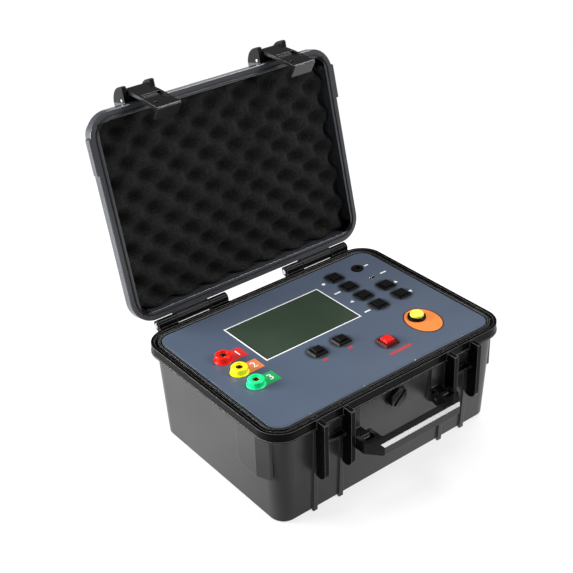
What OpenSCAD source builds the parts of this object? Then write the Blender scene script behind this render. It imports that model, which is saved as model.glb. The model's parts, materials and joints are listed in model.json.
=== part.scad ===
// Earth resistance tester in a hard carrying case, lid open.
// X runs left to right along the front, the front faces -Y, and Z is up.
// The origin is the centre of the flat underside of the base.
// Every part of the lid is drawn closed and then swung open about the hinge.

/* [Case] */
// Length of the rim, left to right
case_l = 277.2; // [265:0.1:300]
// Width of the rim, front to back
case_w = 201.6; // [194:0.1:220]
// Height of the base from its underside to the rim
base_h = 105; // [98:0.5:120]
// Height of the lid from the seam to its top
lid_h = 38; // [36:0.5:46]
// Radius of the rim's corners in plan
corner_r = 23.6; // [22:0.1:27]
// Thickness of the moulded walls
wall = 3.2; // [2.4:0.1:3.6]
// Height of the rim's outer band on the base
band_h = 9.5; // [8:0.5:12]
// Height of the rim's outer band on the lid
lid_band_h = 10; // [8:0.5:11]
// How far the side walls lie inside the rim at the ends
end_inset = 5.3; // [4:0.1:6]
// How far the front and back walls lie inside the rim
front_inset = 3.7; // [3:0.1:5]
// How much the base narrows on each side towards its underside
draft = 4.8; // [2:0.1:7]
// Bevel along the bottom edge
foot_bevel = 2.4; // [1:0.1:4]
// Gap left at the seam between the two halves when shut
seam_gap = 0.4; // [0.3:0.05:0.6]

/* [Rim] */
// Width of the flat outer land of the rim
land_w = 3; // [2:0.1:3.4]
// Width of the ridge that meets the seal
ridge_w = 1.8; // [1.2:0.1:2]
// Distance of that ridge from the outer edge
ridge_inset = 4.6; // [4.2:0.1:4.8]
// Depth of the rim groove in front of the ridge
groove_d = 2; // [1:0.1:3]
// Width of the inner lip next to the panel
lip_w = 1.2; // [0.8:0.1:1.6]
// Distance of the opening from the outer edge
opening_inset = 8.6; // [8.2:0.1:9.2]

/* [Lid hinge] */
// Distance of the hinge axis behind the rim
hinge_back = 6.2; // [5.6:0.1:7]
// Height of the hinge axis above the rim
hinge_up = 1.9; // [1.5:0.1:2.5]
// Outer radius of the hinge barrels
barrel_r = 4.9; // [4.2:0.1:5.2]
// Radius of the steel hinge pins
hinge_pin_r = 1.75; // [1.2:0.05:2]
// Angle that the lid stands open
lid_open = 104; // [100:1:108]
// Distance from the side of the rim to the outer end of each hinge
hinge_edge = 21.6; // [18:0.1:26]
// Length of a base barrel
base_barrel_l = 20.6; // [18:0.1:23]
// Length of a lid barrel
lid_barrel_l = 37.4; // [34:0.1:40]
// Gap between neighbouring barrels
barrel_gap = 0.8; // [0.4:0.1:1.2]

/* [Latches] */
// Gap between the handle and the nearest fin on each side
handle_side_gap = 2.3; // [1.5:0.1:5]
// Width of a latch
latch_w = 24.4; // [22:0.1:26]
// Thickness of the fins on both sides of a latch
fin_t = 4.6; // [3.5:0.1:5.5]
// Gap between a latch and each fin
latch_side_gap = 0.3; // [0.3:0.05:0.6]
// How far the base fins stand out from the rim
fin_out = 10.2; // [9:0.1:12]
// Distance from the rim down to the feet of the base fins
fin_h = 61.5; // [54:0.5:66]
// Radius of the fins' rounded foot
fin_foot_r = 8; // [5:0.5:10]
// How far the lid fins stand out from the rim
ear_out = 15; // [14:0.1:16]
// Height of the lower edge of the lid fins above the seam
ear_low = 8; // [7:0.1:9]
// How far the latch pin stands in front of the rim
latch_pin_out = 2.4; // [2.2:0.1:3]
// Height of the latch pin above the seam
latch_pin_up = 13.6; // [13.4:0.1:14]
// Radius of the latch pins
latch_pin_r = 1.5; // [1:0.05:1.8]
// Angle that the open latches are folded over the rim
latch_fold = 12; // [6:0.5:13]
// Length of a latch below its pin
latch_drop = 54.5; // [50:0.5:56]

/* [Handle] */
// Distance from the rim down to the handle's hinge pins
handle_down = 38.3; // [35:0.1:43]
// How far the handle's hinge pins stand in front of the rim
handle_pin_out = 8; // [7:0.1:9]
// Distance from the pins to the front of the grip
handle_reach = 24; // [22:0.1:30]
// Width over the two arms
handle_w = 114; // [108:0.5:115]
// Width of one arm
arm_w = 18.4; // [17:0.1:23]
// Depth of the grip, front to back
grip_d = 10.4; // [8:0.1:12]
// Height of the grip
grip_h = 11.6; // [9:0.1:12]
// Length of the cut corners along the front
corner_cut_x = 11.7; // [8:0.1:14]
// Length of the cut corners along the sides
corner_cut_y = 13.6; // [8:0.1:14]
// Width of the case knuckle inside each arm
knuckle_w = 10; // [8:0.1:12]
// Radius of the handle pins
handle_pin_r = 1.5; // [1:0.05:2]

/* [Pressure valve] */
// Distance from the rim down to the valve's axis
valve_down = 21.4; // [20:0.1:25]
// Size of the hexagonal valve knob across its flats
valve_af = 17.4; // [14:0.1:18]
// How far the valve knob stands out from the wall
valve_out = 5.6; // [4:0.1:8]
// Radius of the valve stem
valve_stem_r = 4.5; // [3:0.1:6]

/* [Side pads] */
// Front end of the pads on both ends of the case, from the middle
pad_front_y = 80; // [76:0.5:84]
// Rear end of the pads, from the middle
pad_rear_y = 47; // [43:0.5:52]
// How far the pads stand out from the rim
pad_out = 2; // [1:0.1:3]
// Distance from the rim down to the foot of the pads
pad_h = 53; // [47:0.5:59]

/* [Panel] */
// Distance from the outer edge of the rim to the panel
panel_inset = 10.2; // [9.8:0.1:11]
// How far the panel lies below the rim
panel_drop = 0.4; // [0.2:0.05:1]
// Thickness of the panel
panel_t = 2; // [1.5:0.1:2.5]
// Thickness of the printed film on the panel
film_t = 0.3; // [0.2:0.05:0.5]
// Distance from the left edge of the panel to the display window
lcd_left_edge = 56.9; // [53:0.1:60]
// Distance from the right edge of the panel to the display window
lcd_right_edge = 86.7; // [84:0.1:90]
// Height of the display window
lcd_d = 66.5; // [62:0.1:70]
// Distance of the window's middle behind the panel's middle
lcd_back = 28.9; // [26:0.1:31]

/* [Terminals] */
// Distance of the terminals from the left edge of the panel
terminal_edge = 27.8; // [24:0.1:30]
// Place of the rear terminal behind the panel's middle
terminal_first_y = 22; // [18:0.1:26]
// Distance from one terminal to the next
terminal_pitch = 24.5; // [22:0.1:27]
// Radius of a terminal's coloured shroud
terminal_r = 7.6; // [7:0.1:9]
// Height of a terminal above the panel
terminal_h = 6.6; // [5:0.1:7]
// Radius of the plug hole
socket_r = 2; // [1.9:0.05:2.1]

/* [Keys] */
// Distance of the outer key column from the right edge of the panel
key_edge = 30.4; // [27:0.1:33]
// Distance between the two key columns
key_column_gap = 29.4; // [27:0.1:32]
// Distance from one key to the next in a column
key_pitch = 22; // [20:0.1:24]
// Place of the front key of each column behind the panel's middle
key_front_y = 0.6; // [-2:0.1:3]
// Width of a key's frame
key_frame_w = 15.4; // [14:0.1:17]
// Height of a column key's frame
key_frame_h = 1.2; // [0.8:0.1:1.6]
// Width of a column key's cap
key_cap_w = 11; // [9:0.1:12]
// Height of a column key's cap above the panel
key_cap_h = 2.8; // [2.2:0.1:4]
// Height of the frames of the two mode keys
mode_frame_h = 2.2; // [1.6:0.1:2.6]
// Width of the cap of a mode key
mode_cap_w = 8.8; // [7:0.1:10]
// Height of the cap of a mode key above the panel
mode_cap_h = 4.2; // [3.4:0.1:5]
// Place of the mode keys in front of the panel's middle
mode_front = 23.6; // [21:0.1:26]
// Distance of the left mode key to the left of the window's middle
mode_left = 13.7; // [12:0.1:16]
// Distance between the two mode keys
mode_pitch = 28.2; // [25:0.1:31]
// How far a key travels
key_travel = 1.2; // [0.6:0.1:1.6]

/* [Power key and test button] */
// Distance of the power key from the right edge of the panel
power_edge = 98; // [94:0.1:102]
// Place of the power key in front of the panel's middle
power_front = 53; // [50:0.1:56]
// Width of the power key's frame
power_frame_w = 16.6; // [15:0.1:18]
// Width of the power key's cap
power_cap_w = 10.4; // [9:0.1:12]
// Height of the power key's cap above the panel
power_cap_h = 4.6; // [3.6:0.1:6]
// Distance of the test button from the right edge of the panel
test_edge = 48.6; // [45:0.1:52]
// Place of the test button in front of the panel's middle
test_front = 40.2; // [37:0.1:43]
// Radius of the test button's ring
test_ring_r = 8.8; // [8:0.1:10]
// Radius of the test button's cap
test_cap_r = 6.6; // [5.5:0.1:7]
// Height of the test button's cap above the panel
test_cap_h = 5.6; // [4:0.1:6.5]
// How far the test button travels
test_travel = 2; // [1:0.1:3]

/* [Sockets] */
// Distance of the charging and data sockets from the right edge of the panel
socket_edge = 30; // [27:0.1:33]
// Place of the charging socket behind the panel's middle
dc_back = 65.6; // [63:0.1:68]
// Radius of the charging socket's ring
dc_ring_r = 6.2; // [5:0.1:7]
// Radius of the charging socket's hole
dc_hole_r = 2.75; // [2.5:0.05:3]
// Radius of the charging socket's centre pin
dc_pin_r = 1.05; // [0.9:0.05:1.2]
// Place of the data socket behind the panel's middle
usb_back = 42.8; // [40:0.1:45]
// Width of the data socket
usb_w = 7.7; // [7:0.1:8.5]
// Height of the data socket's opening
usb_d = 3.9; // [3:0.1:4.2]

/* [Foam] */
// Thickness of the foam from the lid's roof to its peaks
foam_t = 28; // [24:0.5:28]
// Distance from one foam peak to its neighbour in a row
foam_pitch = 33.9; // [28:0.1:40]
// Height of the foam's bumps
foam_bump = 12; // [6:0.5:14]

/* [Inside] */
// Thickness of the circuit boards
board_t = 1.6; // [1:0.1:2]
// Distance from the panel's underside to the main board
board_gap = 9; // [8:0.5:11]
// Radius of the board standoffs
standoff_r = 3; // [2.4:0.1:4]
// Radius of the small screws' shanks
screw_r = 1.25; // [1:0.05:1.5]
// Radius of a battery cell
cell_r = 7.1; // [6.8:0.05:7.3]
// Length of a battery cell
cell_l = 50; // [48:0.1:51]

/* [Hidden] */
$fn = 72;

// Shared clearances and overruns
over = 1;
fit_gap = 0.3;
run_gap = 0.06;
bond_gap = 0.02;
shade = [0.16, 0.17, 0.18];

// Rim and walls
rim_hx = case_l / 2;
rim_hy = case_w / 2;
wall_hx = rim_hx - end_inset;
wall_hy = rim_hy - front_inset;
wall_r = corner_r - (end_inset + front_inset) / 2;
wall_drop_share = draft / (base_h - over - foot_bevel);
band_z = base_h - band_h;
seam_z = base_h + seam_gap;
bead_h = 1.2;

// Lid profile
lid_edge_r = 16;
lid_shoulder = lid_h - lid_edge_r;
lid_wall_inset = 4.7;
seal_inset = 5.1;
seal_w = 1;
seal_depth = 2.4;
seal_proud = 0.8;

// Hinge
axis_y = rim_hy + hinge_back;
axis_z = base_h + hinge_up;
hinge_l = 2 * base_barrel_l + lid_barrel_l + 2 * barrel_gap;
hinge_mid_x = rim_hx - hinge_edge - hinge_l / 2;
hinge_inner_x = hinge_mid_x - hinge_l / 2;
hinge_root = 3;
hinge_web_h = 9;
hinge_head_r = 2.6;
hinge_head_t = 1;

// Latches and fins
bay_w = latch_w + 2 * latch_side_gap;
fin_mid = bay_w / 2 + fin_t / 2;
latch_x = handle_w / 2 + handle_side_gap + fin_t + bay_w / 2;
latch_pin_y = -rim_hy - latch_pin_out;
latch_pin_z = seam_z + latch_pin_up;
latch_r = 3.2;
latch_face = 9.4;
latch_head = 3.2;
latch_t = 3.4;
latch_rail = 2.2;
latch_well_d = 2;
latch_well_a = 22.6;
latch_well_b = 38.4;
latch_pit_a = 41.4;
latch_pit_w = 3.4;
latch_bead_r = 1;
latch_waist = 23;
latch_end_in = 3.3;
hook_in = 7.1;
hook_rise = 7;
catch_out = 6.5;
catch_h = 5;
rib_out = 1.7;
fin_foot_z = base_h - fin_h;
rib_top = fin_foot_z + 2 * fin_foot_r;
ear_r = 17.7;
ear_mid_in = 2.8;
ear_mid_up = 11.5;
ear_top = 29;

// Handle
handle_y = -rim_hy - handle_pin_out;
handle_z = base_h - handle_down;
handle_hub_r = grip_h / 2;
handle_hx = handle_w / 2;
handle_front = handle_y - handle_reach;
knuckle_x = handle_hx - arm_w / 2;
knuckle_r = 5.3;
fork_depth = 9.5;
gusset_z = handle_z - 2 * knuckle_r;
grip_round = 2.8;
field_out = 1.6;

// Pressure valve
valve_z = base_h - valve_down;
valve_y = -wall_hy + (base_h - over - valve_z) * wall_drop_share;
valve_flange_r = 11;
valve_flange_t = 1.4;
valve_bore = 6;
valve_thread_r = 8;
valve_in = 9;
slot_w = 3.2;
slot_d = 1.9;

// Side pads
pad_ramp = 13;
pad_foot_z = base_h - pad_h;
lid_pad_h = 7;

// Panel
panel_hx = rim_hx - panel_inset;
panel_hy = rim_hy - panel_inset;
panel_r = corner_r - panel_inset;
face_z = base_h - panel_drop;
panel_z = face_z - film_t;
under_z = panel_z - panel_t;
film_edge = 1.2;
ledge_t = 4;
ledge_inset = 15.2;
ledge_screw_inset = 13;
ledge_boss_r = 3;
ledge_boss_h = 8;
panel_screw_x = rim_hx - 2 * corner_r;
panel_screw_mid_x = panel_screw_x / 3;
head_r = 2.2;
head_t = 1.3;
lcd_w = 2 * panel_hx - lcd_left_edge - lcd_right_edge;
lcd_x = (lcd_left_edge - lcd_right_edge) / 2;
lcd_lip = 4;
lcd_depth = 5.5;
lcd_cell_t = 2.6;

// Terminals, keys and sockets
terminal_x = terminal_edge - panel_hx;
terminal_ys = [for (i = [0:2]) terminal_first_y - i * terminal_pitch];
terminal_flange_r = 8.8;
terminal_flange_t = 0.9;
terminal_neck_r = 5.4;
terminal_dish_r = 4.6;
terminal_dish_d = 1;
tube_r = 3.2;
tube_l = 24;
socket_l = 20;
nut_r = 5.2;
dc_neck_r = 5.2;
nut_t = 2.5;
key_x2 = panel_hx - key_edge;
key_x1 = key_x2 - key_column_gap;
key_ys = [for (i = [0:3]) key_front_y + i * key_pitch];
mode_x1 = lcd_x - mode_left;
mode_x2 = mode_x1 + mode_pitch;
mode_frame_l = 14.4;
power_x = panel_hx - power_edge;
power_frame_h = 2.4;
test_x = panel_hx - test_edge;
test_ring_h = 3;
stem_w = 5;
flange_extra = 1.4;
flange_t = 1;
switch_w = 6;
switch_t = 3.2;
dc_x = panel_hx - socket_edge;
dc_ring_t = 1.2;
dc_hole_d = 9;
dc_body_w = 13;
usb_wall = 0.5;
usb_depth = 8.5;

// Boards and inner parts
board_top = under_z - board_gap;
board_z = board_top - board_t;
board_edge = 11.5;
board_hx = panel_hx - board_edge;
board_hy = panel_hy - board_edge;
post_edge = 9;
post_x = board_hx - post_edge;
post_y = board_hy - post_edge;
floor_z = wall;
low_post_h = 10;
low_board_z = floor_z + low_post_h;
low_edge = 21.3;
low_hy = wall_hy - low_edge - board_edge;
low_post_y = low_hy - post_edge;
core_w = 46;
core_d = 38;
core_h = 34;
core_window_w = 12;
core_leg = 8;
coil_gap = 0.5;
relay_w = 20;
relay_d = 15;
relay_h = 16;
relay_pitch = 26;
tray_edge = 63.3;
tray_x = wall_hx - tray_edge;
tray_wall = 2;
cell_pitch = 2 * cell_r + 0.8;
tray_hx = 2 * cell_pitch + tray_wall + fit_gap;
low_x0 = low_edge - wall_hx;
low_x1 = tray_x - tray_hx - post_edge;
low_x = (low_x0 + low_x1) / 2;
low_hx = (low_x1 - low_x0) / 2;
low_post_x = low_hx - post_edge;
tray_hy = cell_l + tray_wall + 3;
tray_h = 13;
strap_w = 14;
strap_t = 1.2;

// Half of a rounded box's wall section, from pairs of inset and height.
// Its zero line is the axis of the box's round corners.
module section(r, pts) {
    polygon(concat(
        [[0, pts[0][1]]],
        [for (p = pts) [r - p[0], p[1]]],
        [[0, pts[len(pts) - 1][1]]]
    ));
}

// A rounded box whose section is the child, with true cones and tori at its corners
module rounded(hx, hy, r, z0, z1) {
    for (sx = [-1, 1], sy = [-1, 1])
        translate([sx * (hx - r), sy * (hy - r), 0]) rotate_extrude() children();
    for (side = [0, 1])
        mirror([side, 0, 0]) translate([hx - r, 0, 0]) rotate([90, 0, 0])
            linear_extrude(2 * (hy - r), center = true) children();
    for (side = [0, 1])
        mirror([0, side, 0]) translate([0, hy - r, 0]) rotate([90, 0, 90])
            linear_extrude(2 * (hx - r), center = true) children();
    translate([r - hx, r - hy, z0]) cube([2 * (hx - r), 2 * (hy - r), z1 - z0]);
}

// A straight rounded slab, its edge set in from the rim
module slab(inset, z0, z1) {
    r = corner_r - inset;
    hx = rim_hx - inset;
    hy = rim_hy - inset;
    translate([0, 0, z0]) linear_extrude(z1 - z0) {
        square([2 * hx, 2 * (hy - r)], center = true);
        square([2 * (hx - r), 2 * hy], center = true);
        for (sx = [-1, 1], sy = [-1, 1])
            translate([sx * (hx - r), sy * (hy - r)]) circle(r);
    }
}

// A closed ring that follows the rim between two insets
module rim_ring(inset_a, inset_b, z0, z1) {
    difference() {
        slab(inset_a, z0, z1);
        slab(inset_b, z0 - over, z1 + over);
    }
}

// An upright plate: its outline is drawn in Y and Z, its middle lies at x
module plate_x(x, t) {
    translate([x - t / 2, 0, 0]) rotate([90, 0, 90]) linear_extrude(t) children();
}

// A round bar along X
module bar_x(x, y, z, r, l) {
    translate([x - l / 2, y, z]) rotate([0, 90, 0]) cylinder(r = r, h = l);
}

// Swings the closed lid's parts open
module opened() {
    translate([0, axis_y, axis_z]) rotate([-lid_open, 0, 0]) translate([0, -axis_y, -axis_z])
        children();
}

// Both sides of the case
module both_sides() {
    children();
    mirror([1, 0, 0]) children();
}

// A square pyramid without its top
module frustum(w, d, top_w, top_d, h) {
    intersection() {
        rotate([90, 0, 0]) linear_extrude(d + w, center = true)
            polygon([[-w / 2, 0], [w / 2, 0], [top_w / 2, h], [-top_w / 2, h]]);
        rotate([90, 0, 90]) linear_extrude(d + w, center = true)
            polygon([[-d / 2, 0], [d / 2, 0], [top_d / 2, h], [-top_d / 2, h]]);
    }
}

// Places of the panel's keys
function key_places() = concat(
    [for (y = key_ys) [key_x1, y]],
    [[key_x2, key_ys[1]], [key_x2, key_ys[0]]]
);
function mode_places() = [[mode_x1, -mode_front], [mode_x2, -mode_front]];

// Plan of all openings in the panel
module panel_cutouts() {
    for (p = key_places())
        translate(p) square(key_cap_w + 2 * fit_gap, center = true);
    for (p = mode_places())
        translate(p) square(mode_cap_w + 2 * fit_gap, center = true);
    translate([power_x, -power_front]) square(power_cap_w + 2 * fit_gap, center = true);
    translate([test_x, -test_front]) circle(test_cap_r + fit_gap);
    for (y = terminal_ys)
        translate([terminal_x, y]) circle(terminal_neck_r + bond_gap);
    translate([dc_x, dc_back]) circle(dc_neck_r + bond_gap);
    translate([dc_x, usb_back])
        square([usb_w + 2 * bond_gap, usb_d + 2 * bond_gap], center = true);
}

// Places of the panel's screws, hidden under the film
function ledge_screws() = concat(
    [for (x = [panel_screw_mid_x, panel_screw_x], sx = [-1, 1], sy = [-1, 1])
        [sx * x, sy * (rim_hy - ledge_screw_inset)]],
    [for (sx = [-1, 1]) [sx * (rim_hx - ledge_screw_inset), 0]]
);

module hinge_barrel(x, l, bore_r) {
    difference() {
        bar_x(x, axis_y, axis_z, barrel_r, l);
        bar_x(x, axis_y, axis_z, bore_r, l + 2 * over);
    }
}

module base_barrels() {
    for (side = [-1, 1]) {
        x = hinge_mid_x + side * (lid_barrel_l + base_barrel_l + 2 * barrel_gap) / 2;
        difference() {
            union() {
                bar_x(x, axis_y, axis_z, barrel_r, base_barrel_l);
                plate_x(x, base_barrel_l)
                    polygon([
                        [rim_hy - hinge_root, base_h], [axis_y, base_h],
                        [axis_y, axis_z - barrel_r], [rim_hy, base_h - hinge_web_h],
                        [rim_hy - hinge_root, base_h - hinge_web_h]
                    ]);
            }
            bar_x(x, axis_y, axis_z, hinge_pin_r + bond_gap, base_barrel_l + 2 * over);
        }
    }
}

// Fin beside a latch, with its half-round foot
module base_fin_outline() {
    front = -rim_hy - fin_out;
    foot = fin_foot_z + fin_foot_r;
    back = -wall_hy + draft;
    translate([front + fin_foot_r, foot]) circle(fin_foot_r);
    polygon([
        [front, foot], [back, foot], [back, base_h - bead_h],
        [front + bead_h, base_h - bead_h], [front, base_h - 2 * bead_h]
    ]);
}

module rib_outline() {
    low = -wall_hy + draft;
    polygon([
        [low + over, 0], [low - rib_out, 0],
        [low - rib_top * wall_drop_share - rib_out, rib_top],
        [low + over, rib_top]
    ]);
}

module base_fins() {
    for (side = [-1, 1]) {
        x = latch_x + side * fin_mid;
        plate_x(x, fin_t) base_fin_outline();
        plate_x(x, fin_t) rib_outline();
    }
    // Catch under which the latch's hook closes
    catch_z = latch_pin_z - latch_drop + hook_rise + latch_t + fit_gap;
    plate_x(latch_x, bay_w + fin_t)
        polygon([
            [-wall_hy + draft, catch_z], [-wall_hy - catch_out + fit_gap, catch_z],
            [-wall_hy - catch_out, catch_z + catch_h / 2],
            [-wall_hy, catch_z + catch_h], [-wall_hy + draft, catch_z + catch_h]
        ]);
}

module handle_knuckle() {
    difference() {
        plate_x(knuckle_x, knuckle_w) {
            translate([handle_y, handle_z]) circle(knuckle_r);
            polygon([
                [-wall_hy + draft, gusset_z], [-wall_hy, gusset_z],
                [handle_y, handle_z - knuckle_r], [handle_y, handle_z + knuckle_r],
                [-wall_hy + draft, handle_z + knuckle_r]
            ]);
        }
        bar_x(knuckle_x, handle_y, handle_z, handle_pin_r + bond_gap, knuckle_w + 2 * over);
    }
}

// Raised field of the wall above the knuckle, up to the band
module knuckle_field() {
    x0 = knuckle_x - knuckle_w / 2;
    x1 = latch_x - fin_mid;
    plate_x((x0 + x1) / 2, x1 - x0)
        polygon([
            [-wall_hy + draft, handle_z], [-wall_hy - field_out, handle_z],
            [-wall_hy - field_out, band_z + over / 2], [-wall_hy + draft, band_z + over / 2]
        ]);
}

module side_pad() {
    x0 = rim_hx - opening_inset + over / 4;
    difference() {
        translate([0, 0, pad_foot_z]) linear_extrude(base_h - bead_h - pad_foot_z)
            polygon([
                [x0, -pad_rear_y], [rim_hx, -pad_rear_y],
                [rim_hx, -pad_front_y + pad_out * 3], [wall_hx, -pad_front_y - pad_ramp / 2],
                [x0, -pad_front_y - pad_ramp / 2]
            ]);
        // Cut corner at the foot
        translate([rim_hx, -pad_rear_y, pad_foot_z]) rotate([45, 0, 0])
            cube([4 * wall, 2 * wall, 2 * wall], center = true);
    }
}

module base_shell() {
    color([0.38, 0.39, 0.4]) {
        difference() {
            union() {
                rounded(wall_hx, wall_hy, wall_r, 0, base_h - over)
                    section(wall_r, [
                        [draft + foot_bevel, 0], [draft, foot_bevel],
                        [0, base_h - over]
                    ]);
                slab(0, band_z, base_h);
                slab(-bead_h / 2, band_z, band_z + bead_h);
            }
            // Hollow below the ledge
            rounded(wall_hx - wall, wall_hy - wall, wall_r - wall, floor_z, under_z - ledge_t)
                section(wall_r - wall, [
                    [draft, floor_z], [0, under_z - ledge_t]
                ]);
            slab(ledge_inset, under_z - ledge_t - over, under_z + over);
            slab(opening_inset, under_z, base_h + over);
            // Groove in the rim and a step inside it
            rim_ring(land_w, ridge_inset + groove_d + bond_gap, base_h - groove_d, base_h + over);
            rim_ring(
                opening_inset - lip_w / 2, opening_inset + over,
                base_h - lip_w / 2, base_h + over
            );
            for (p = ledge_screws())
                translate([p[0], p[1], under_z - ledge_t - ledge_boss_h])
                    cylinder(r = screw_r + bond_gap, h = ledge_t + ledge_boss_h + over);
            // Seat of the pressure valve
            translate([0, valve_y + wall + draft, valve_z]) rotate([90, 0, 0])
                cylinder(r = valve_thread_r + bond_gap, h = 6 * wall + draft, center = true);
        }
        difference() {
            for (p = ledge_screws())
                translate([p[0], p[1], under_z - ledge_t - ledge_boss_h])
                    cylinder(r = ledge_boss_r, h = ledge_boss_h + bond_gap);
            for (p = ledge_screws())
                translate([p[0], p[1], under_z - ledge_t - ledge_boss_h - over])
                    cylinder(r = screw_r + bond_gap, h = ledge_t + ledge_boss_h + 2 * over);
        }
        both_sides() {
            base_fins();
            handle_knuckle();
            knuckle_field();
            base_barrels();
            side_pad();
        }
        // Posts for the measuring board
        for (sx = [-1, 1], sy = [-1, 1])
            translate([low_x + sx * low_post_x, sy * low_post_y, floor_z - over / 2])
                difference() {
                    cylinder(r = standoff_r, h = low_post_h + over / 2);
                    translate([0, 0, over])
                        cylinder(r = screw_r + bond_gap, h = low_post_h + over);
                }
    }
}

module hinge_pin() {
    bar_x(hinge_mid_x, axis_y, axis_z, hinge_pin_r, hinge_l);
    for (side = [-1, 1])
        bar_x(
            hinge_mid_x + side * (hinge_l + hinge_head_t) / 2,
            axis_y, axis_z, hinge_head_r, hinge_head_t
        );
}

module hinge_pin_left() {
    color([0.7, 0.71, 0.72]) mirror([1, 0, 0]) hinge_pin();
}

module hinge_pin_right() {
    color([0.7, 0.71, 0.72]) hinge_pin();
}

module handle_pins() {
    color([0.7, 0.71, 0.72]) both_sides()
        bar_x(knuckle_x, handle_y, handle_z, handle_pin_r, arm_w - 2 * fit_gap);
}

module valve_body() {
    y_face = valve_y - valve_flange_r * wall_drop_share - bond_gap;
    color(shade) translate([0, y_face, valve_z]) rotate([-90, 0, 0])
        difference() {
            union() {
                cylinder(r = valve_thread_r, h = wall + valve_in);
                translate([0, 0, -valve_flange_t]) cylinder(r = valve_flange_r, h = valve_flange_t);
            }
            translate([0, 0, -valve_flange_t - over])
                cylinder(r = valve_stem_r + run_gap, h = wall + valve_in + 2 * over + valve_flange_t);
        }
}

module valve_seal() {
    y_in = valve_y + wall + valve_flange_r * wall_drop_share + fit_gap;
    color([0.06, 0.06, 0.06]) translate([0, y_in, valve_z]) rotate([-90, 0, 0])
        difference() {
            cylinder(r = valve_flange_r, h = seal_w);
            translate([0, 0, -over])
                cylinder(r = valve_thread_r + bond_gap, h = seal_w + 2 * over);
        }
}

module valve_nut() {
    y_in = valve_y + wall + valve_flange_r * wall_drop_share + fit_gap + seal_w + bond_gap;
    color(shade) translate([0, y_in, valve_z]) rotate([-90, 0, 0])
        difference() {
            cylinder(r = valve_flange_r, h = nut_t, $fn = 6);
            translate([0, 0, -over])
                cylinder(r = valve_thread_r + bond_gap, h = nut_t + 2 * over);
        }
}

module valve_knob() {
    y_face = valve_y - valve_flange_r * wall_drop_share - valve_flange_t - fit_gap - bond_gap;
    hex_h = valve_out - valve_flange_t - fit_gap;
    color(shade) translate([0, y_face, valve_z]) rotate([90, 0, 0])
        difference() {
            union() {
                rotate(30) cylinder(d = valve_af / cos(30), h = hex_h, $fn = 6);
                translate([0, 0, -wall - valve_in])
                    cylinder(r = valve_stem_r, h = wall + valve_in + over);
            }
            rotate(45) translate([0, 0, hex_h])
                cube([valve_af, slot_w, 2 * slot_d], center = true);
        }
}

module window_plan(extra) {
    translate([lcd_x, lcd_back])
        square([lcd_w + 2 * extra, lcd_d + 2 * extra], center = true);
}

module front_panel() {
    color([0.36, 0.4, 0.47]) difference() {
        union() {
            slab(panel_inset, under_z, panel_z);
            for (sx = [-1, 1], sy = [-1, 1])
                translate([sx * post_x, sy * post_y, board_top])
                    cylinder(r = standoff_r, h = board_gap + over);
        }
        translate([0, 0, under_z - over]) linear_extrude(panel_t + 2 * over) panel_cutouts();
        translate([0, 0, under_z - over]) linear_extrude(panel_t + 2 * over)
            window_plan(-lcd_lip);
        translate([0, 0, panel_z - panel_t / 2]) linear_extrude(panel_t) window_plan(0);
        for (p = ledge_screws()) {
            translate([p[0], p[1], under_z - over])
                cylinder(r = screw_r + fit_gap, h = panel_t + 2 * over);
            translate([p[0], p[1], panel_z - head_t - bond_gap])
                cylinder(r = head_r + bond_gap, h = head_t + over);
        }
        for (sx = [-1, 1], sy = [-1, 1])
            translate([sx * post_x, sy * post_y, board_top - over])
                cylinder(r = screw_r + bond_gap, h = board_gap);
    }
}

module panel_film() {
    color([0.4, 0.45, 0.53]) difference() {
        slab(panel_inset + film_edge, panel_z, face_z);
        translate([0, 0, panel_z - over]) linear_extrude(film_t + 2 * over) panel_cutouts();
        translate([0, 0, panel_z - over]) linear_extrude(film_t + 2 * over) window_plan(0);
    }
}

module panel_screws() {
    color([0.72, 0.72, 0.7]) for (p = ledge_screws())
        translate([p[0], p[1], panel_z - bond_gap]) mirror([0, 0, 1]) {
            cylinder(r = head_r, h = head_t);
            cylinder(r = screw_r, h = panel_t + ledge_t + ledge_boss_h / 2);
        }
}

module lcd_window() {
    color([0.2, 0.25, 0.2, 0.6])
        translate([0, 0, panel_z - panel_t / 2 + bond_gap])
            linear_extrude(face_z - panel_z + panel_t / 2 - bond_gap) window_plan(-bond_gap);
}

module lcd_glass() {
    color([0.24, 0.3, 0.25])
        translate([0, 0, under_z - fit_gap - lcd_cell_t])
            linear_extrude(lcd_cell_t) window_plan(-over);
}

module lcd_frame() {
    color(shade) difference() {
        translate([0, 0, under_z - bond_gap - lcd_depth])
            linear_extrude(lcd_depth) window_plan(over);
        translate([0, 0, under_z - fit_gap - lcd_cell_t - bond_gap])
            linear_extrude(lcd_depth) window_plan(bond_gap - over);
    }
}

// Coloured shroud of a terminal, with its neck through the panel
module terminal(y) {
    neck = film_t + panel_t + nut_t + over;
    translate([terminal_x, y, face_z]) rotate_extrude()
        polygon([
            [tube_r + bond_gap, -neck], [terminal_neck_r, -neck], [terminal_neck_r, 0],
            [terminal_flange_r, 0], [terminal_flange_r, terminal_flange_t / 2],
            [terminal_flange_r - terminal_flange_t / 2, terminal_flange_t],
            [terminal_r, terminal_flange_t], [terminal_r, terminal_h - terminal_flange_t],
            [terminal_r - terminal_flange_t, terminal_h],
            [terminal_dish_r, terminal_h], [terminal_dish_r, terminal_h - terminal_dish_d],
            [tube_r + bond_gap, terminal_h - terminal_dish_d]
        ]);
}

module terminal_red() {
    color([0.85, 0.12, 0.1]) terminal(terminal_ys[0]);
}

module terminal_yellow() {
    color([0.95, 0.85, 0.1]) terminal(terminal_ys[1]);
}

module terminal_green() {
    color([0.1, 0.7, 0.3]) terminal(terminal_ys[2]);
}

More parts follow.
